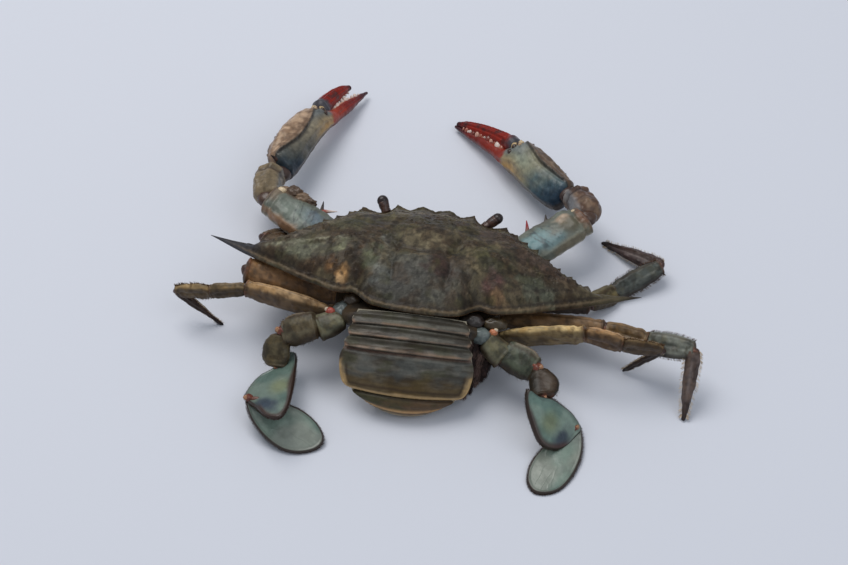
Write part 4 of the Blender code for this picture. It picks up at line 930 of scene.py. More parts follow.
def make_walking_leg(leg, side, size):
    """Four flattened segments and their hip pieces, from the body outwards."""
    points = joints_of(leg, side)
    bend = unit(np.cross(points[1] - points[0], points[-1] - points[1]))
    face = LEG_FACES.get((leg, side), bend if bend[1] + bend[2] > 0 else -bend)
    points[0] = points[0] - unit(points[1] - points[0]) * HIP
    number = int(leg[-1])
    rng = np.random.default_rng(number + (10 if side == "left" else 0))
    profiles = (MERUS, CARPUS, PROPODUS, DACTYL)
    name = f"{leg}_{side}_"
    for i, profile in enumerate(profiles):
        along = unit(points[i + 1] - points[i])
        start, end = points[i] - along * (0.9 if i else 0.0), points[i + 1] + along * (0.7 if i < 3 else 0.0)
        sized = scaled(profile, size * BROADER[side][number - 1][i], size)
        part = Segment(start, end, face, sized, 84, 56, LEG_CAPS[i], 1.85)
        seed = number * 20 + i + (7 if side == "left" else 0)
        for degrees in (90, -90):
            part.carve(((degrees, 14, -0.45 if i else -0.2, 0.1, 0.9), (degrees + 40, 8, 0.22, 0.06, 0.94),
                        (degrees - 40, 8, 0.22, 0.06, 0.94)))
        part.carve((), ((0.965, 0.5, 0.45), (0.89, 0.7, -0.25)) if i < 3 else (),
                   ((0.9, 0.08, seed), (3.4, 0.34, seed + 1)))
        part.points[..., 2] = np.maximum(part.points[..., 2], 0)
        paint_leg(part, LEG_TINTS[side][number - 1][i], seed, (i > 0, i < 3))
        if i == 3:
            part.over((26, 16, 16), ramp(0.6, 1.0, part.t) * 0.85)
            part.over((128, 116, 112), 0.6 * hill(part.turn(90), 0, 16) * hill(part.t, 0.4, 0.3))
        part.make_for(name + SEGMENTS[i], "leg")
        if i:
            axes = np.stack([part.broad, part.thin, part.axis])
            _, broad, thick, _ = np.array(profiles[i - 1][-1]) * size
            knob(f"{name}joint_{i}", points[i], (broad * 0.80, thick * 0.80, 1.2), (62, 34, 24), axes, seed)
            spot = points[i] + part.thin * thick * 0.75
            knob(f"{name}condyle_{i}", spot, (0.9, 0.45, 0.6), (108, 66, 48), axes, seed)
        if i > 1:
            # Fringes of short stiff hair stand along both narrow edges.
            picks = [(rng.integers(6, 72, 130), (column + rng.integers(-1, 2, 130)) % 56)
                     for column in (0, 28)]
            pick = tuple(np.concatenate(parts) for parts in zip(*picks))
            lean = part.out[pick] + part.axis * 0.7 + rng.normal(0, 0.12, (260, 3))
            bold = (leg, side, i) == ("walking_leg_2", "right", 3)
            length, thick, shade = (1.5, 0.10, 1.3) if bold else (1.1, 0.07, 1.0)
            colour = shade * (srgb(186, 168, 144) if i == 3 else srgb(92, 66, 44))
            bristles(f"{name}fringe_{i + 1}", part.points[pick], lean, length, thick, colour, 0.05, seed)
    out = unit(points[1] - points[0])
    start = points[0] + out * (HIP - 9.5)
    hip = Segment(start, points[0] + out * 1.2, face, scaled(HIP_PROFILE, size, size), 60, 44, (1.4, 1.2))
    hip.carve((), ((0.45, 0.5, -0.7),), ((1.6, 0.15, number),))
    paint_leg(hip, (96, 76, 54), number, (0, 1))
    hip.over((176, 166, 144), ramp(0.1, -0.5, hip.out[..., 2]))
    hip.make(name + "hip", "belly")


def spline(points, count):
    """A smooth closed curve through a few points."""
    points = np.asarray(points, float)
    n = len(points)
    u = np.arange(count) * n / count
    i, f = u.astype(int), (u % 1)[:, None]
    a, b, c, d = (points[(i + k) % n] for k in (-1, 0, 1, 2))
    square, cube = 2 * a - 5 * b + 4 * c - d, 3 * b - a - 3 * c + d
    return 0.5 * (2 * b + (c - a) * f + square * f ** 2 + cube * f ** 3)


# The outlines of the swimming legs' plates: (along from the joint, across), in millimetres
OUTLINES = {
    ("left", 2): ((-7.5, -1.6), (-8.5, 2.4), (0.5, 8.6), (9.0, 13.4), (17.4, 17.2), (23.0, 17.4),
                  (23.9, 12.4), (21.0, 5.5), (17.8, -1.8), (12.1, -3.9), (5.6, -3.8), (0.1, -1.2)),
    ("left", 3): ((-0.4, -0.8), (2.5, -4.0), (7.3, -6.6), (13.6, -8.4), (20.2, -8.3), (25.6, -5.8),
                  (29.6, -1.2), (29.6, 3.2), (24.6, 6.4), (17.2, 7.4), (9.6, 5.6), (2.4, 1.6)),
    ("right", 2): ((-7.2, -1.4), (-5.6, -5.0), (-0.6, -9.2), (7.6, -13.2), (14.0, -11.6), (18.2, -7.4),
                   (19.6, -2.4), (20.0, 1.8), (14.8, 3.6), (9.0, 3.6), (3.0, 2.6), (-2.6, -0.4)),
    ("right", 3): ((-1.7, 1.0), (3.4, -2.2), (9.6, -4.9), (16.0, -6.6), (22.6, -6.4), (28.0, -4.2),
                   (30.6, -0.4), (29.3, 3.7), (25.0, 7.2), (17.8, 8.5), (10.0, 7.6), (3.0, 4.8))}


def plate_colour(side, number, along, across, inside):
    """The colours of a swimming plate; inside is how far a point lies within its outline."""
    place = grid(along, across, 0.0)
    shade = 0.92 if number == 3 else 1.06 if side == "right" else 0.72
    pale, green = srgb(122, 140, 128) * shade, srgb(100, 124, 114) * shade
    coat = Paint(mix(pale, green, patches(place, 7, 100 + number, -0.4, 0.5)), place)
    if number == 2:
        middle, dark = ((9.0, 8.0), (18.6, 8.6)) if side == "left" else ((7.0, -5.0), (14.5, -6.5))
        coat.over((122, 126, 84), 0.6 * ramp(6.0, 1.0, np.hypot(along - middle[0], across - middle[1])))
        away = np.hypot((along - dark[0]) * 1.4, across - dark[1]) * (1 + 0.3 * cloud(place, 3, 105, 2))
        coat.over((40, 52, 70), 0.9 * ramp(7.5, 1.5, away))
        outer = ramp(4, 9, across) if side == "left" else ramp(-4, -8, across)
        coat.over((70, 38, 32), 0.85 * ramp(3.0, 1.0, inside) * outer)
    else:
        coat.blots((142, 142, 132), 0.6, 10, 110, -0.4, 0.8, 2)
        coat.over((96, 108, 104), 0.5 * ramp(12, 2, along))
    coat.blots(0.75, 0.5, 2.2, 112, -0.1, 0.6)
    coat.over(0.8, ramp(2.6, 0.9, inside))
    coat.over((44, 27, 18), 0.95 * ramp(0.9, 0.45, inside))
    return coat.tint


def make_plate(side, number, start, axis, face, half_thick):
    """One flat plate of a swimming leg, with a raised rim and a fringe of short hair."""
    thin = unit(face - axis * np.dot(face, axis))
    broad = np.cross(thin, axis)
    corners, hairs, rings = 260, 900, 44
    outline = spline(OUTLINES[side, number], corners)
    middle = outline.mean(axis=0)
    share = 1 - (1 - (np.arange(rings) + 0.5) / rings) ** 1.8
    share = np.concatenate([share, share[::-1]])[:, None]
    sign = np.repeat((1, -1), rings)[:, None]
    along, across = np.moveaxis(middle + (outline - middle) * share[..., None], -1, 0)
    inside = (1 - share) * np.linalg.norm(outline - middle, axis=-1) * 0.92
    rounded = np.sqrt(1 - (1 - np.clip(inside / 0.8, 0, 1)) ** 2)
    height = half_thick * rounded * (1 - 0.35 * ramp(0.7, 1.5, inside))
    height = height + 0.55 * (1 - share ** 2) + 0.12 * cloud(grid(along, across, 0.0), 4, 9, 3)
    veins = np.abs(cloud(grid(along * 0.3, across, 0.0), 2.5, 19, 2))
    height = height + 0.10 * ramp(0.12, 0.0, veins) * ramp(1.0, 2.0, inside)
    points = start + axis * along[..., None] + broad * across[..., None] + thin * (height * sign)[..., None]
    centre = start + axis * middle[0] + broad * middle[1]
    poles = [centre + thin * (half_thick + 0.2), centre - thin * half_thick]
    points = np.concatenate([points.reshape(-1, 3), poles])
    points[:, 2] = np.maximum(points[:, 2], 0)
    tint = with_ends(plate_colour(side, number, along, across, inside))
    name = f"swimming_leg_{side}_{SEGMENTS[number]}"
    add_mesh(name + "_plate", points, grid_faces(2 * rings, corners), "paddle", tint, name)
    fine = spline(OUTLINES[side, number], hairs)
    flat = np.stack([axis, broad])
    outward = unit(fine - middle) @ flat
    rng = np.random.default_rng(number)
    roots = start + fine @ flat - outward * 0.3 + thin * rng.uniform(-0.35, 0.35, (hairs, 1))
    lean = outward + axis * 0.5 + rng.normal(0, 0.12, (hairs, 3))
    roots[:, 2] = np.maximum(roots[:, 2], 0.15)
    bristles(name + "_fringe", roots, lean, 1.0, 0.05, srgb(58, 38, 26), 0.0, number)


# The swimming legs' hips: (name, centre, radii, colour) of each knob, and each ischium's ends
HIP_KNOBS = {"left": (("corner", (-22.8, -20.6, 24.4), (3.4, 3.0, 2.8), (58, 46, 32)),
                      ("coxa", (-25.9, -24.0, 22.0), (3.4, 3.4, 3.0), (98, 106, 104)),
                      ("knob", (-30.0, -25.8, 22.8), (1.7, 1.5, 1.6), (160, 74, 60)),
                      ("cream", (-31.4, -25.2, 23.2), (0.9, 0.8, 0.9), (206, 186, 164)),
                      ("inner", (-21.5, -24.0, 20.6), (3.0, 3.0, 2.6), (82, 60, 44))),
             "right": (("corner", (20.5, -24.4, 24.0), (4.6, 2.8, 2.6), (44, 36, 32)),
                       ("coxa", (24.4, -28.2, 21.0), (3.6, 3.2, 3.0), (92, 100, 98)),
                       ("knob", (28.6, -26.9, 22.0), (1.5, 1.4, 1.4), (190, 120, 84)),
                       ("cream", (29.4, -26.4, 22.8), (0.8, 0.7, 0.8), (206, 190, 166)),
                       ("inner", (28.7, -23.8, 22.8), (4.4, 2.4, 2.4), (66, 54, 36)))}
ISCHIA = {"left": ((-24.6, -27.0, 21.0), (-34.2, -32.0, 19.5)),
          "right": ((25.6, -28.6, 19.8), (33.8, -33.4, 16.2))}
ISCHIUM = ((0, 3.4, 2.6, 0), (0.4, 4.5, 2.9, 0), (0.8, 4.9, 2.9, 0), (1, 4.7, 2.8, 0))
SWIM_TINTS = {"right": ((62, 67, 54), (46, 39, 29)), "left": ((76, 69, 53), (70, 62, 44))}


def make_swimming_leg(side):
    """The last leg, whose two end segments are the paddle's flat plates."""
    points = joints_of("swimming_leg", side)
    name = f"swimming_leg_{side}_"
    for k, (label, centre, radii, shade) in enumerate(HIP_KNOBS[side]):
        knob(name + label, centre, radii, shade, seed=k, sides=36, lump=0.12)
    ischium = Segment(*ISCHIA[side], FACE[side][0], ISCHIUM, 60, 48, (1.6, 0.8), 1.9)
    ischium.carve((), ((0.9, 0.6, 0.3),), ((2.5, 0.2, 61),))
    paint_leg(ischium, (88, 86, 68), 62, (1, 1))
    ischium.make(name + "ischium", "leg")
    for i, profile in enumerate((SWIM_MERUS, SWIM_CARPUS)):
        part = Segment(points[i], points[i + 1], FACE[side][i], scaled(profile, shift=SIDES[side]), 72, 60,
                       (1.2, 1.4), 2.0)
        part.carve(((90, 20, -0.3, 0.15, 0.85),), ((0.955, 0.6, 0.4), (0.87, 0.7, -0.25)),
                   ((1.0, 0.07, 60 + i), (3.5, 0.25, 70 + i)))
        paint_leg(part, SWIM_TINTS[side][i], 80 + i, (i > 0, 1))
        # A painted highlight on the faces turned up and forward.
        pale = hill(part.out @ PAINTED_LIGHT_DIRECTION, 0.98, 0.10) * ramp(0.1, 0.3, part.t) * ramp(0.95, 0.8, part.t)
        part.over((160, 142, 124), 0.6 * pale)
        part.make_for(name + SEGMENTS[i], "leg")
        rng = np.random.default_rng(i)
        pick = rng.integers(8, 64, 240), rng.integers(0, 60, 240)
        bristles(f"{name}hair_{i + 1}", part.points[pick], part.out[pick] + part.axis * 0.8, 0.9, 0.045,
                 srgb(96, 76, 54), 0.1, i)
    for number, half_thick, rise in ((2, 0.9, 1.3), (3, 0.75, -1.0)):
        lift = np.array((0, -0.7, 0.7)) * (rise if side == "right" else 0)
        make_plate(side, number, points[number] + lift, unit(points[number + 1] - points[number]),
                   np.array(FACE[side][number], float), half_thick)
    # The hinges between the segments: a reddish knob with a paler one beside it.
    out = SIDES[side]
    for i, size, rise in ((1, 2.0, 1.6), (2, 1.2, 0.6), (3, 1.5, 1.0)):
        spot = points[i] + UP * rise
        knob(f"{name}hinge_{i}", spot, (size, size, size * 0.8), (104, 50, 34), seed=i, lump=0.3)
        spot = spot + np.array((out, -0.2, 0.4)) * size * 0.7
        knob(f"{name}knob_{i}", spot, (size * 0.55,) * 3, (160, 116, 84), seed=i + 4, lump=0.3)
    spot = points[3] + np.array((-out * 2.6, -0.3, 1.5 + 0.2 * out))
    knob(name + "bar", spot, (2.3, 0.9, 0.8), (96, 56, 42), seed=9, lump=0.3)


# ================================================================ claws
HORN = ((0, 1, 1, 0), (0.3, 0.66, 0.66, 0.1), (0.7, 0.34, 0.34, 0.1))


def make_horn(name, root, direction, length, radius, shades):
    """A curved spine that tapers to a point; shades are its colours at the root and the tip."""
    direction = unit(direction)
    profile = (*scaled(HORN, radius, radius), (1, 0.12, 0.12, 0))
    face = np.cross(direction, (0.3, 0.2, 1.0))
    part = Segment(root - direction, root + direction * length, face, profile, 30, 18, (0.8, 0.3))
    part.paint(srgb(*shades[0]))
    part.over(shades[1], ramp(0.3, 0.7, part.t))
    part.make(name, "arm")


# Patches on the claw arms: (place along, degrees round from the upper face towards the front edge,
# half length along, half turn, colour, strength)
ARM_PATCHES = {
    "left": ((0.47, 5, 0.13, 26, (86, 104, 122), 0.85), (0.62, -10, 0.22, 40, (128, 138, 128), 0.6),
             (0.80, 60, 0.14, 30, (84, 56, 40), 0.85), (0.62, 78, 0.10, 24, (52, 38, 32), 0.8),
             (0.94, 20, 0.07, 60, (128, 108, 88), 0.7), (0.60, -75, 0.5, 24, (156, 116, 84), 0.8),
             (0.30, 40, 0.1, 30, (96, 98, 96), 0.5)),
    "right": ((0.42, 0, 0.2, 34, (104, 140, 144), 0.85), (0.55, -30, 0.2, 24, (98, 128, 134), 0.7),
              # The right arm's pale tan patch at 0.78 is a painted highlight.
              (0.78, 22, 0.09, 20, (186, 160, 136), 0.75), (0.82, -15, 0.14, 34, (86, 78, 58), 0.75),
              (0.96, -10, 0.07, 60, (112, 74, 50), 0.85), (0.74, -78, 0.3, 26, (128, 112, 84), 0.55),
              (0.66, 62, 0.14, 22, (84, 78, 70), 0.7))}
# Their spines: (place along, length, direction, colours at the root and the tip)
ARM_SPINES = {"left": ((0.47, 6.2, (1.0, 0.05, 0.12), ((150, 70, 56), (214, 196, 186))),
                       (0.46, 4.2, (0.1, 0.9, 0.7), ((84, 70, 60), (40, 28, 26))),
                       (0.62, 2.6, (0.3, 0.8, 0.5), ((70, 50, 40), (40, 28, 26)))),
              "right": ((0.27, 4.0, (-0.4, 0.9, 0.5), ((110, 96, 90), (60, 30, 30))),
                        (0.456, 4.4, (-0.2, 0.8, 0.8), ((150, 110, 104), (160, 44, 50))),
                        (0.66, 2.8, (-0.2, 0.9, 0.6), ((84, 74, 66), (44, 34, 32))))}
LOBES = ((0.60, 2.0), (0.70, 2.6), (0.80, 2.8), (0.88, 2.2))


def make_arm(side, start, end):
    """The claw arm's long segment, with its spines and, on the left, the lobes of its front edge."""
    name = f"cheliped_{side}_"
    arm = Segment(start, end, UP, ARM, 130, 84, (2.5, 2.0), 2.1)
    front, step = (180, -1) if arm.broad[1] < 0 else (0, 1)
    t = arm.t
    arm.carve(((90 - step * 55, 8, 0.5, 0.05, 0.95), (90 + step * 60, 8, 0.4, 0.05, 0.95),
               (90, 22, -0.35, 0.1, 0.85)), ((0.965, 0.7, 0.5), (0.88, 0.9, -0.5)),
              ((1.1, 0.10, 31), (4.0, 0.35, 32)))
    arm.lift(1.1 * hill(t, 0.80, 0.06) * ramp(50, 10, arm.turn(front)))
    arm.paint(srgb(98, 102, 92) if side == "left" else srgb(106, 110, 100))
    arm.blots(0.7, 1, 5, 33, -0.3, 0.6)
    wobble = 1 + 0.35 * cloud(arm.place, 3.0, 34, 3)
    for place, degrees, reach, spread, shade, strength in ARM_PATCHES[side]:
        away = np.hypot((t - place) / reach, arm.turn(90 - step * degrees) / spread) * wobble
        arm.over(shade, strength * ramp(1.3, 0.4, away))
    # Thin dark curved lines cross its upper face.
    place = grid(t * arm.length + 1.6 * np.cos(arm.angle), np.cos(arm.angle) * 1.8, 0.0)
    thread = ramp(0.10, 0.0, np.abs(cloud(place, 3.4, 133, 2)))
    arm.over((50, 54, 58), 0.7 * thread * ramp(60, 30, arm.turn(90)))
    arm.over((96, 62, 42), 0.7 * ramp(0.93, 0.99, t))
    arm.over((196, 190, 178), ramp(0.0, -0.6, arm.out[..., 2]))
    arm.make_for(name + "arm", "arm")
    for k, (place, length, way, shades) in enumerate(ARM_SPINES[side]):
        make_horn(f"{name}spine_{k + 1}", arm.spot(place, front + step * 12), way, length, 1.25, shades)
    for k, (place, size) in enumerate(LOBES if side == "left" else ()):
        knob(f"{name}lobe_{k + 1}", arm.spot(place, front + step * 30), (size * 1.2, size * 0.9, size * 0.8),
             ((84, 66, 52), (120, 98, 78))[k % 2], seed=k + 9, sides=36, lump=0.25, slot="arm")


def make_wrist(side, start, end):
    """The knob-like segment between the arm and the claw."""
    out = SIDES[side]
    wrist = Segment(start, end, UP, scaled(WRISTS[side], shift=-out), 90, 72, (2.6, 2.6), 2.1)
    wrist.carve(((90, 12, 0.7, 0.1, 0.9), (135, 9, 0.5, 0.1, 0.9), (45, 9, 0.5, 0.1, 0.9)),
                ((0.85, 1.0, 0.5), (0.70, 0.8, -0.4)), ((1.1, 0.12, 35), (3.6, 0.6, 36)))
    wrist.tint = mix(srgb(84, 60, 46), srgb(122, 98, 78), patches(wrist.place, 3.4, 37, -0.4, 0.5))
    if side == "left":
        wrist.tint = wrist.tint * 0.5 + srgb(122, 112, 86) * 0.62
    wrist.blots(0.5, 0.6, 1.5, 38, 0.1, 0.5)
    # A painted highlight: faces turned inwards, back and up are painted pale blue-grey.
    wrist.over((124, 132, 138), 0.6 * ramp(0.80, 0.99, wrist.out @ unit((-out, -0.35, 0.6))))
    # Painted shade darkens the groove round the wrist.
    wrist.over((40, 26, 22), 0.7 * hill(wrist.t, 0.70, 0.05))
    wrist.make_for(f"cheliped_{side}_wrist", "arm")


BASE = ((0, 4.2, 4.0, 0), (0.5, 5.0, 4.4, 0), (1, 4.4, 3.8, 0))
HAND = 0.60                                  # where the palm ends and its fixed finger starts, along it
OUTER = np.array((0, -0.67, 0.73))           # rearwards and up: the way the claws' outer faces look
TUBERCLES = {"left": (-59.4, 34.0, 20.6), "right": (51.9, 37.4, 20.8)}


# How far round from the top the palm's flat upper strip reaches on its outer face: (place along, degrees)
STRIP = {"left": ((0, 29), (0.1, 61), (0.2, 78), (0.3, 81), (0.4, 72), (0.5, 46), (0.56, 15), (0.6, -30),
                  (1, -30)),
         "right": ((0, 36), (0.08, 42), (0.16, 48), (0.23, 52), (0.32, 44), (0.4, 29), (0.46, 5), (0.5, -30),
                   (1, -30))}
# Small lumps in front of the finger's hinge: (place along from it, degrees round, size, colour)
LUMPS = ((-0.025, 24, 1.2, (190, 168, 132)), (-0.008, 52, 1.0, (58, 38, 28)),
         (-0.045, 48, 0.8, (176, 150, 120)), (-0.012, 80, 0.9, (64, 44, 36)))


def make_cheliped(side):
    """The claw arm: hip, arm with its spines, wrist, and the claw's two fingers."""
    points = joints_of("cheliped", side)
    out = SIDES[side]
    name = f"cheliped_{side}_"
    end = points[0] - unit(points[1] - points[0]) * 0.5
    base = Segment(to_world((out * 18.5, 11.0, -14.0)), end, UP, BASE, 40, 48, (2.0, 2.0))
    base.carve(grains=((3.0, 0.25, 30),))
    base.paint(srgb(180, 174, 158))
    base.make_for(name + "base", "belly")
    make_arm(side, points[0], points[1])
    make_wrist(side, points[1], points[2])

    root = points[2] - np.array((out * PALM_ROOT, 0, 0))
    axis = unit(points[3] - root)
    face = unit(np.cross(axis, CLAW_TOP[side]))
    broad = np.cross(face, axis)
    palm = Segment(root, points[3], face, PALMS[side], 170, 96, (2.2, 0.8), 2.15)
    # Beaded ridges run along the palm: two part its upper strip from the sides, the rest lie on its faces.
    strip = palm_strip(palm, side)
    beads = 0.75 + 0.6 * cloud(palm.place, 1.1, 39, 1)
    palm.lift((0.75 * hill(strip, 0, 4) * beads - 0.5 * hill(strip, -9, 5) - 0.45 * hill(strip, 26, 12))
              * ramp(0.02, 0.06, palm.t) * ramp(HAND, HAND - 0.08, palm.t))
    palm.carve([(degrees, 6, 0.35, 0.05, HAND) for degrees in (110, -110, 140, -140)])
    palm.carve(((66, 3, 0.25, 0.62, 1.0), (96, 8, -0.3, 0.60, 0.98)), (), ((1.0, 0.10, 41), (5.0, 0.30, 42)))
    paint_palm(palm, side, strip)
    palm.make_for(name + "palm", "arm")
    make_horn(name + "spine_4", palm.spot(palm.t[6], 34), -axis * 0.5 + broad * 0.8 + UP * 0.4, 2.8, 1.1,
              ((70, 48, 42), (30, 20, 20)))

    hinge = root + axis * (palm.length * HINGE_PLACE[side]) + broad * HINGE_RISE[side]
    reach, lean = FINGERS[side]
    lean = math.radians(lean)
    narrow, rise = (0.88, 0.5) if side == "right" else (1.0, 0.0)
    finger = Segment(hinge, hinge + (axis * math.cos(lean) + broad * math.sin(lean)) * reach, face,
                     scaled(FINGER, narrow, rise=rise), 130, 72, (2.0, 0.8))
    finger.carve([(degrees + turn, width, height, 0.15, 0.92) for degrees in (90, -90, 40, -40)
                  for turn, width, height in ((0, 6, -0.35), (14, 5, 0.2))],
                 ((0.12, 0.9, 0.4),), ((0.9, 0.07, 44), (3.0, 0.15, 45)))
    finger.tint = mix(srgb(128, 28, 14), srgb(84, 30, 26), patches(finger.place, 3, 46, 0.0, 0.6))
    edge = 0.10 if side == "right" else 0.20
    slate = ramp(edge + 0.08, edge - 0.05, finger.t + 0.03 * cloud(finger.place, 2, 47))
    finger.over((68, 66, 72), slate)
    finger.over((168, 92, 70), 0.35 * hill(finger.turn(0), 0, 14) * ramp(0.3, 0.5, finger.t))
    finger.over((44, 12, 20), ramp(0.80, 1.0, finger.t))
    finger.make_for(name + "finger", "finger")
    make_teeth(side, palm, finger)
    axes = np.stack([axis, face, broad])
    for k, sign in enumerate((1, -1)):
        pin = hinge + face * sign * 2.7 + axis * 0.4
        knob(f"claw_{side}_hinge_{k + 1}", pin, (1.5, 0.9, 1.5), (196, 168, 120), axes, k, 0.2)
        socket = hinge + face * sign * 2.5 - axis * 1.0
        knob(f"claw_{side}_socket_{k + 1}", socket, (1.9, 0.8, 2.4), (52, 30, 22), axes, k + 5, 0.2)
    seen = np.sign(face @ OUTER)
    for k, (place, degrees, size, shade) in enumerate(LUMPS):
        knob(f"claw_{side}_knob_{k + 1}", palm.spot(HINGE_PLACE[side] + place, seen * degrees),
             (size, size * 0.8, size), shade, axes, k, 0.3)
    knob(name + "joint_1", points[1], (4.0, 3.8, 2.8), (70, 48, 36), seed=1)
    knob(name + "joint_2", root - axis * 0.5, (4.2, 3.8, 3.2), (60, 42, 36), seed=2)
    knob(name + "tubercle", TUBERCLES[side], (1.9, 1.5, 1.5), (206, 184, 150), seed=3, lump=0.15)


def palm_strip(palm, side):
    """How far each point of the palm lies inside its flat upper strip, in degrees round the palm."""
    signed = ((np.degrees(palm.angle) + 180) % 360 - 180) * np.sign(palm.thin @ OUTER)
    bound = curve(STRIP[side], palm.t)
    return np.where(signed > 0, bound - signed, np.minimum(34, bound) + signed)


# The claw's colours from the wrist outwards, the painted highlight on its face, and the fixed finger's
# orange and red
PALM_TINTS = {"left": ((22, 38, 52), (58, 66, 68), (106, 99, 84), (140, 132, 114),
                       (150, 48, 24), (116, 22, 12)),
              "right": ((28, 48, 66), (66, 88, 94), (128, 124, 102), (150, 160, 142),
                        (130, 34, 17), (108, 22, 12))}


def paint_palm(palm, side, strip):
    """The claw's colours: deep blue at the wrist, then green-grey, then tan, and red on the fixed finger."""
    t, place = palm.t, palm.place
    start, near, shade = (0.56, 0.08, 1.0) if side == "left" else (0.51, 0.05, 0.38)
    deep, teal, mid, palm_highlight, orange, red = PALM_TINTS[side]
    wobble = 0.06 * cloud(place, 5, 43, 3)
    low = -np.cos(palm.angle)
    from_wrist = t - (low * 0.08 - near) + wobble
    palm.paint(srgb(*deep))
    palm.over(teal, ramp(0.03, 0.22, from_wrist))
    palm.over(mid, ramp(0.12, 0.36, from_wrist))
    palm.over((150, 128, 90), 0.85 * ramp(0.26, 0.42, t + wobble) * ramp(-0.2, 0.5, low))
    # A painted highlight across the middle of its face.
    palm.over(palm_highlight, 0.6 * hill(t, 0.36, 0.09) * hill(low, 0.0, 0.4))
    palm.over((186, 142, 84), 0.6 * hill(low, 0.75, 0.3) * hill(t, start - 0.05, 0.09))
    palm.over((62, 48, 34), 0.8 * ramp(0.70, 0.98, low))
    palm.over((98, 106, 110), 0.7 * ramp(start - 0.2, start - 0.08, t) * ramp(0.15, -0.3, low))
    brown = mix(srgb(132, 106, 84), srgb(176, 148, 122), patches(place, 2.0, 48, -0.3, 0.4))
    brown = Paint(brown * shade, place)
    brown.over((92, 70, 54), 0.6 * hill(strip, 9, 5))
    palm.lay(brown.tint, ramp(-2, 3, strip))
    palm.over((34, 24, 18), 0.9 * hill(strip, -3, 5) * ramp(HAND, HAND - 0.05, t))
    palm.blots(0.5, 0.55, 1.6, 49, 0.1, 0.5)
    palm.blots(1.35, 0.5, 1.2, 50, 0.15, 0.5, 2)
    finger = Paint(mix(srgb(*orange), srgb(*red), ramp(0.62, 0.76, t + wobble)), place)
    finger.over((58, 12, 22), ramp(0.84, 0.96, t))
    biting = ramp(50, 20, palm.turn(0)) * ramp(0.60, 0.66, t) * ramp(0.96, 0.85, t)
    finger.over((228, 176, 150), 0.75 * biting)
    finger.over((70, 24, 20), 0.6 * ramp(60, 20, palm.turn(180)))
    palm.lay(finger.tint, ramp(start, start + 0.04, t + 0.5 * wobble + 0.03 * low))


# The teeth of the fixed and moving fingers: (count, first place, spacing, sizes, how fast they shrink)
TEETH = {"fixed": (11, 0.615, 0.030, (1.9, 0.9, 1.4), 0.05),
         "moving": (9, 0.20, 0.080, (1.5, 1.0, 1.2), 0.06)}
TOOTH_TINTS = {"right": ((214, 196, 186), (150, 84, 66), (198, 150, 132), (120, 50, 38)),
               "left": ((212, 192, 182),)}


def make_teeth(side, palm, finger):
    """Rounded teeth of uneven size along both fingers' cutting edges."""
    axes = np.stack([palm.axis, palm.thin, palm.broad])
    seen = palm.thin * np.sign(palm.thin @ OUTER) * (1.47 if side == "right" else 0.7)
    shades = TOOTH_TINTS[side]
    for which, part, profile, edge in (("fixed", palm, PALMS[side], 1), ("moving", finger, FINGER, -1)):
        count, first, spacing, sizes, shrink = TEETH[which]
        start = part.ends[0] - part.broad * (profile[0][3] if which == "fixed" else 0)
        for k in range(count):
            t = first + spacing * k
            size = sizes[k % 3] * (1 - shrink * k)
            across = curve(profile, t, 3) + edge * (curve(profile, t) - size * 0.1)
            spot = start + part.axis * (part.length * t) + part.broad * across + seen
            later = which == "moving"
            knob(f"tooth_{side}_{which}_{k + 1}", spot, (size * 0.85, size * 0.75, size),
                 shades[(k + later) % len(shades)], axes, k + 20 * later, slot="tooth")


# ================================================================ stage
def place_object(name, data, location=(0, 0, 0), back=(0, 0, 1)):
    """Adds an object that looks away from the direction back."""
    obj = bpy.data.objects.new(name, data)
    obj.location = location
    obj.rotation_euler = Vector(back).to_track_quat("Z", "Y").to_euler()
    bpy.context.scene.collection.objects.link(obj)
    return obj


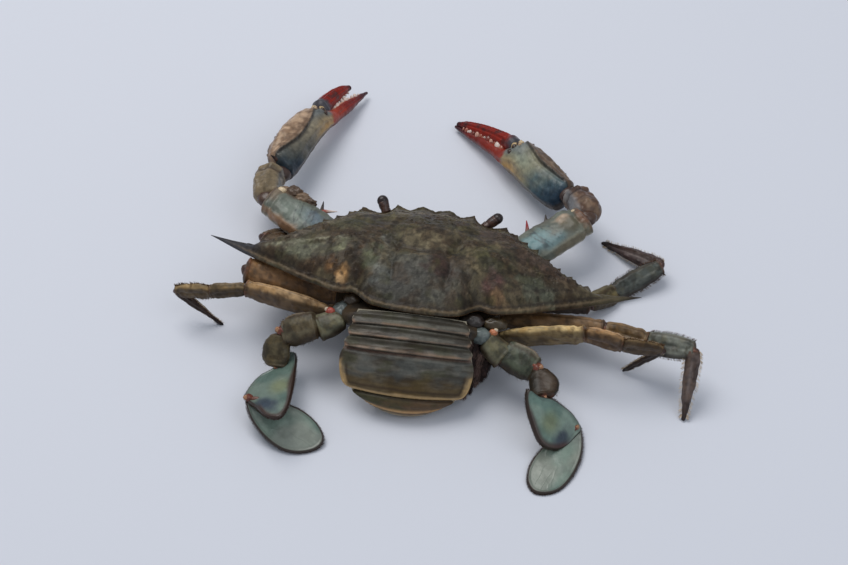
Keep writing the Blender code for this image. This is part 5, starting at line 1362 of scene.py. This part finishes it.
def make_stage():
    """A plain pale floor, a soft sky and large soft lamps."""
    floor = bpy.data.meshes.new("floor")
    floor.from_pydata([(x, y, -0.0002) for x, y in ((-6, -6), (6, -6), (6, 6), (-6, 6))], [], [(0, 1, 2, 3)])
    pale = bpy.data.materials.new("floor")
    pale.use_nodes = True
    shader = pale.node_tree.nodes["Principled BSDF"]
    set_inputs(shader, {"Base Color": (0.66, 0.68, 0.75, 1), "Roughness": 0.8})
    floor.materials.append(pale)
    place_object("floor", floor)
    world = bpy.data.worlds.new("sky")
    bpy.context.scene.world = world
    world.use_nodes = True
    set_inputs(world.node_tree.nodes["Background"], {"Color": (0.86, 0.92, 1.0, 1), "Strength": 0.42})
    # (direction to the lamp, distance, size, power, colour)
    lamps = (((-0.35, 0.30, 1.0), 1.4, 0.9, 11.0, (1.0, 0.98, 0.95)),
             ((0.6, -0.3, 0.9), 1.5, 1.0, 3.5, (0.92, 0.96, 1.0)))
    for i, (way, distance, size, power, colour) in enumerate(lamps):
        lamp = bpy.data.lights.new(f"lamp_{i + 1}", "AREA")
        lamp.shape = "SQUARE"
        lamp.size, lamp.energy, lamp.color = size, power, colour
        way = Vector(way).normalized()
        place_object(lamp.name, lamp, way * distance, way)


def make_camera():
    """A long lens, from behind the crab and well above it."""
    turn, height = math.radians(8.0), math.radians(47.2)
    level = math.cos(height)
    back = np.array((math.sin(turn) * level, -math.cos(turn) * level, math.sin(height)))
    target = (np.array((0.0, 0.0, 20.0)) - CENTRE) * MM
    camera = bpy.data.cameras.new("camera")
    camera.lens = 81.33
    camera.sensor_width = 36.0
    camera.shift_y = -0.0113
    camera.clip_start = 0.05
    bpy.context.scene.camera = place_object("camera", camera, target + back * 0.7, back)
    bpy.context.scene.view_settings.view_transform = "Standard"


def main():
    make_shell()
    make_thorax()
    make_abdomen()
    make_pleopods()
    for side in SIDES:
        make_eye(side)
        make_antenna(side)
        make_mouth(side)
        make_cheliped(side)
        make_swimming_leg(side)
        for i, size in enumerate(LEG_SIZES):
            make_walking_leg(f"walking_leg_{i + 1}", side, size)
    make_stage()
    make_camera()


main()
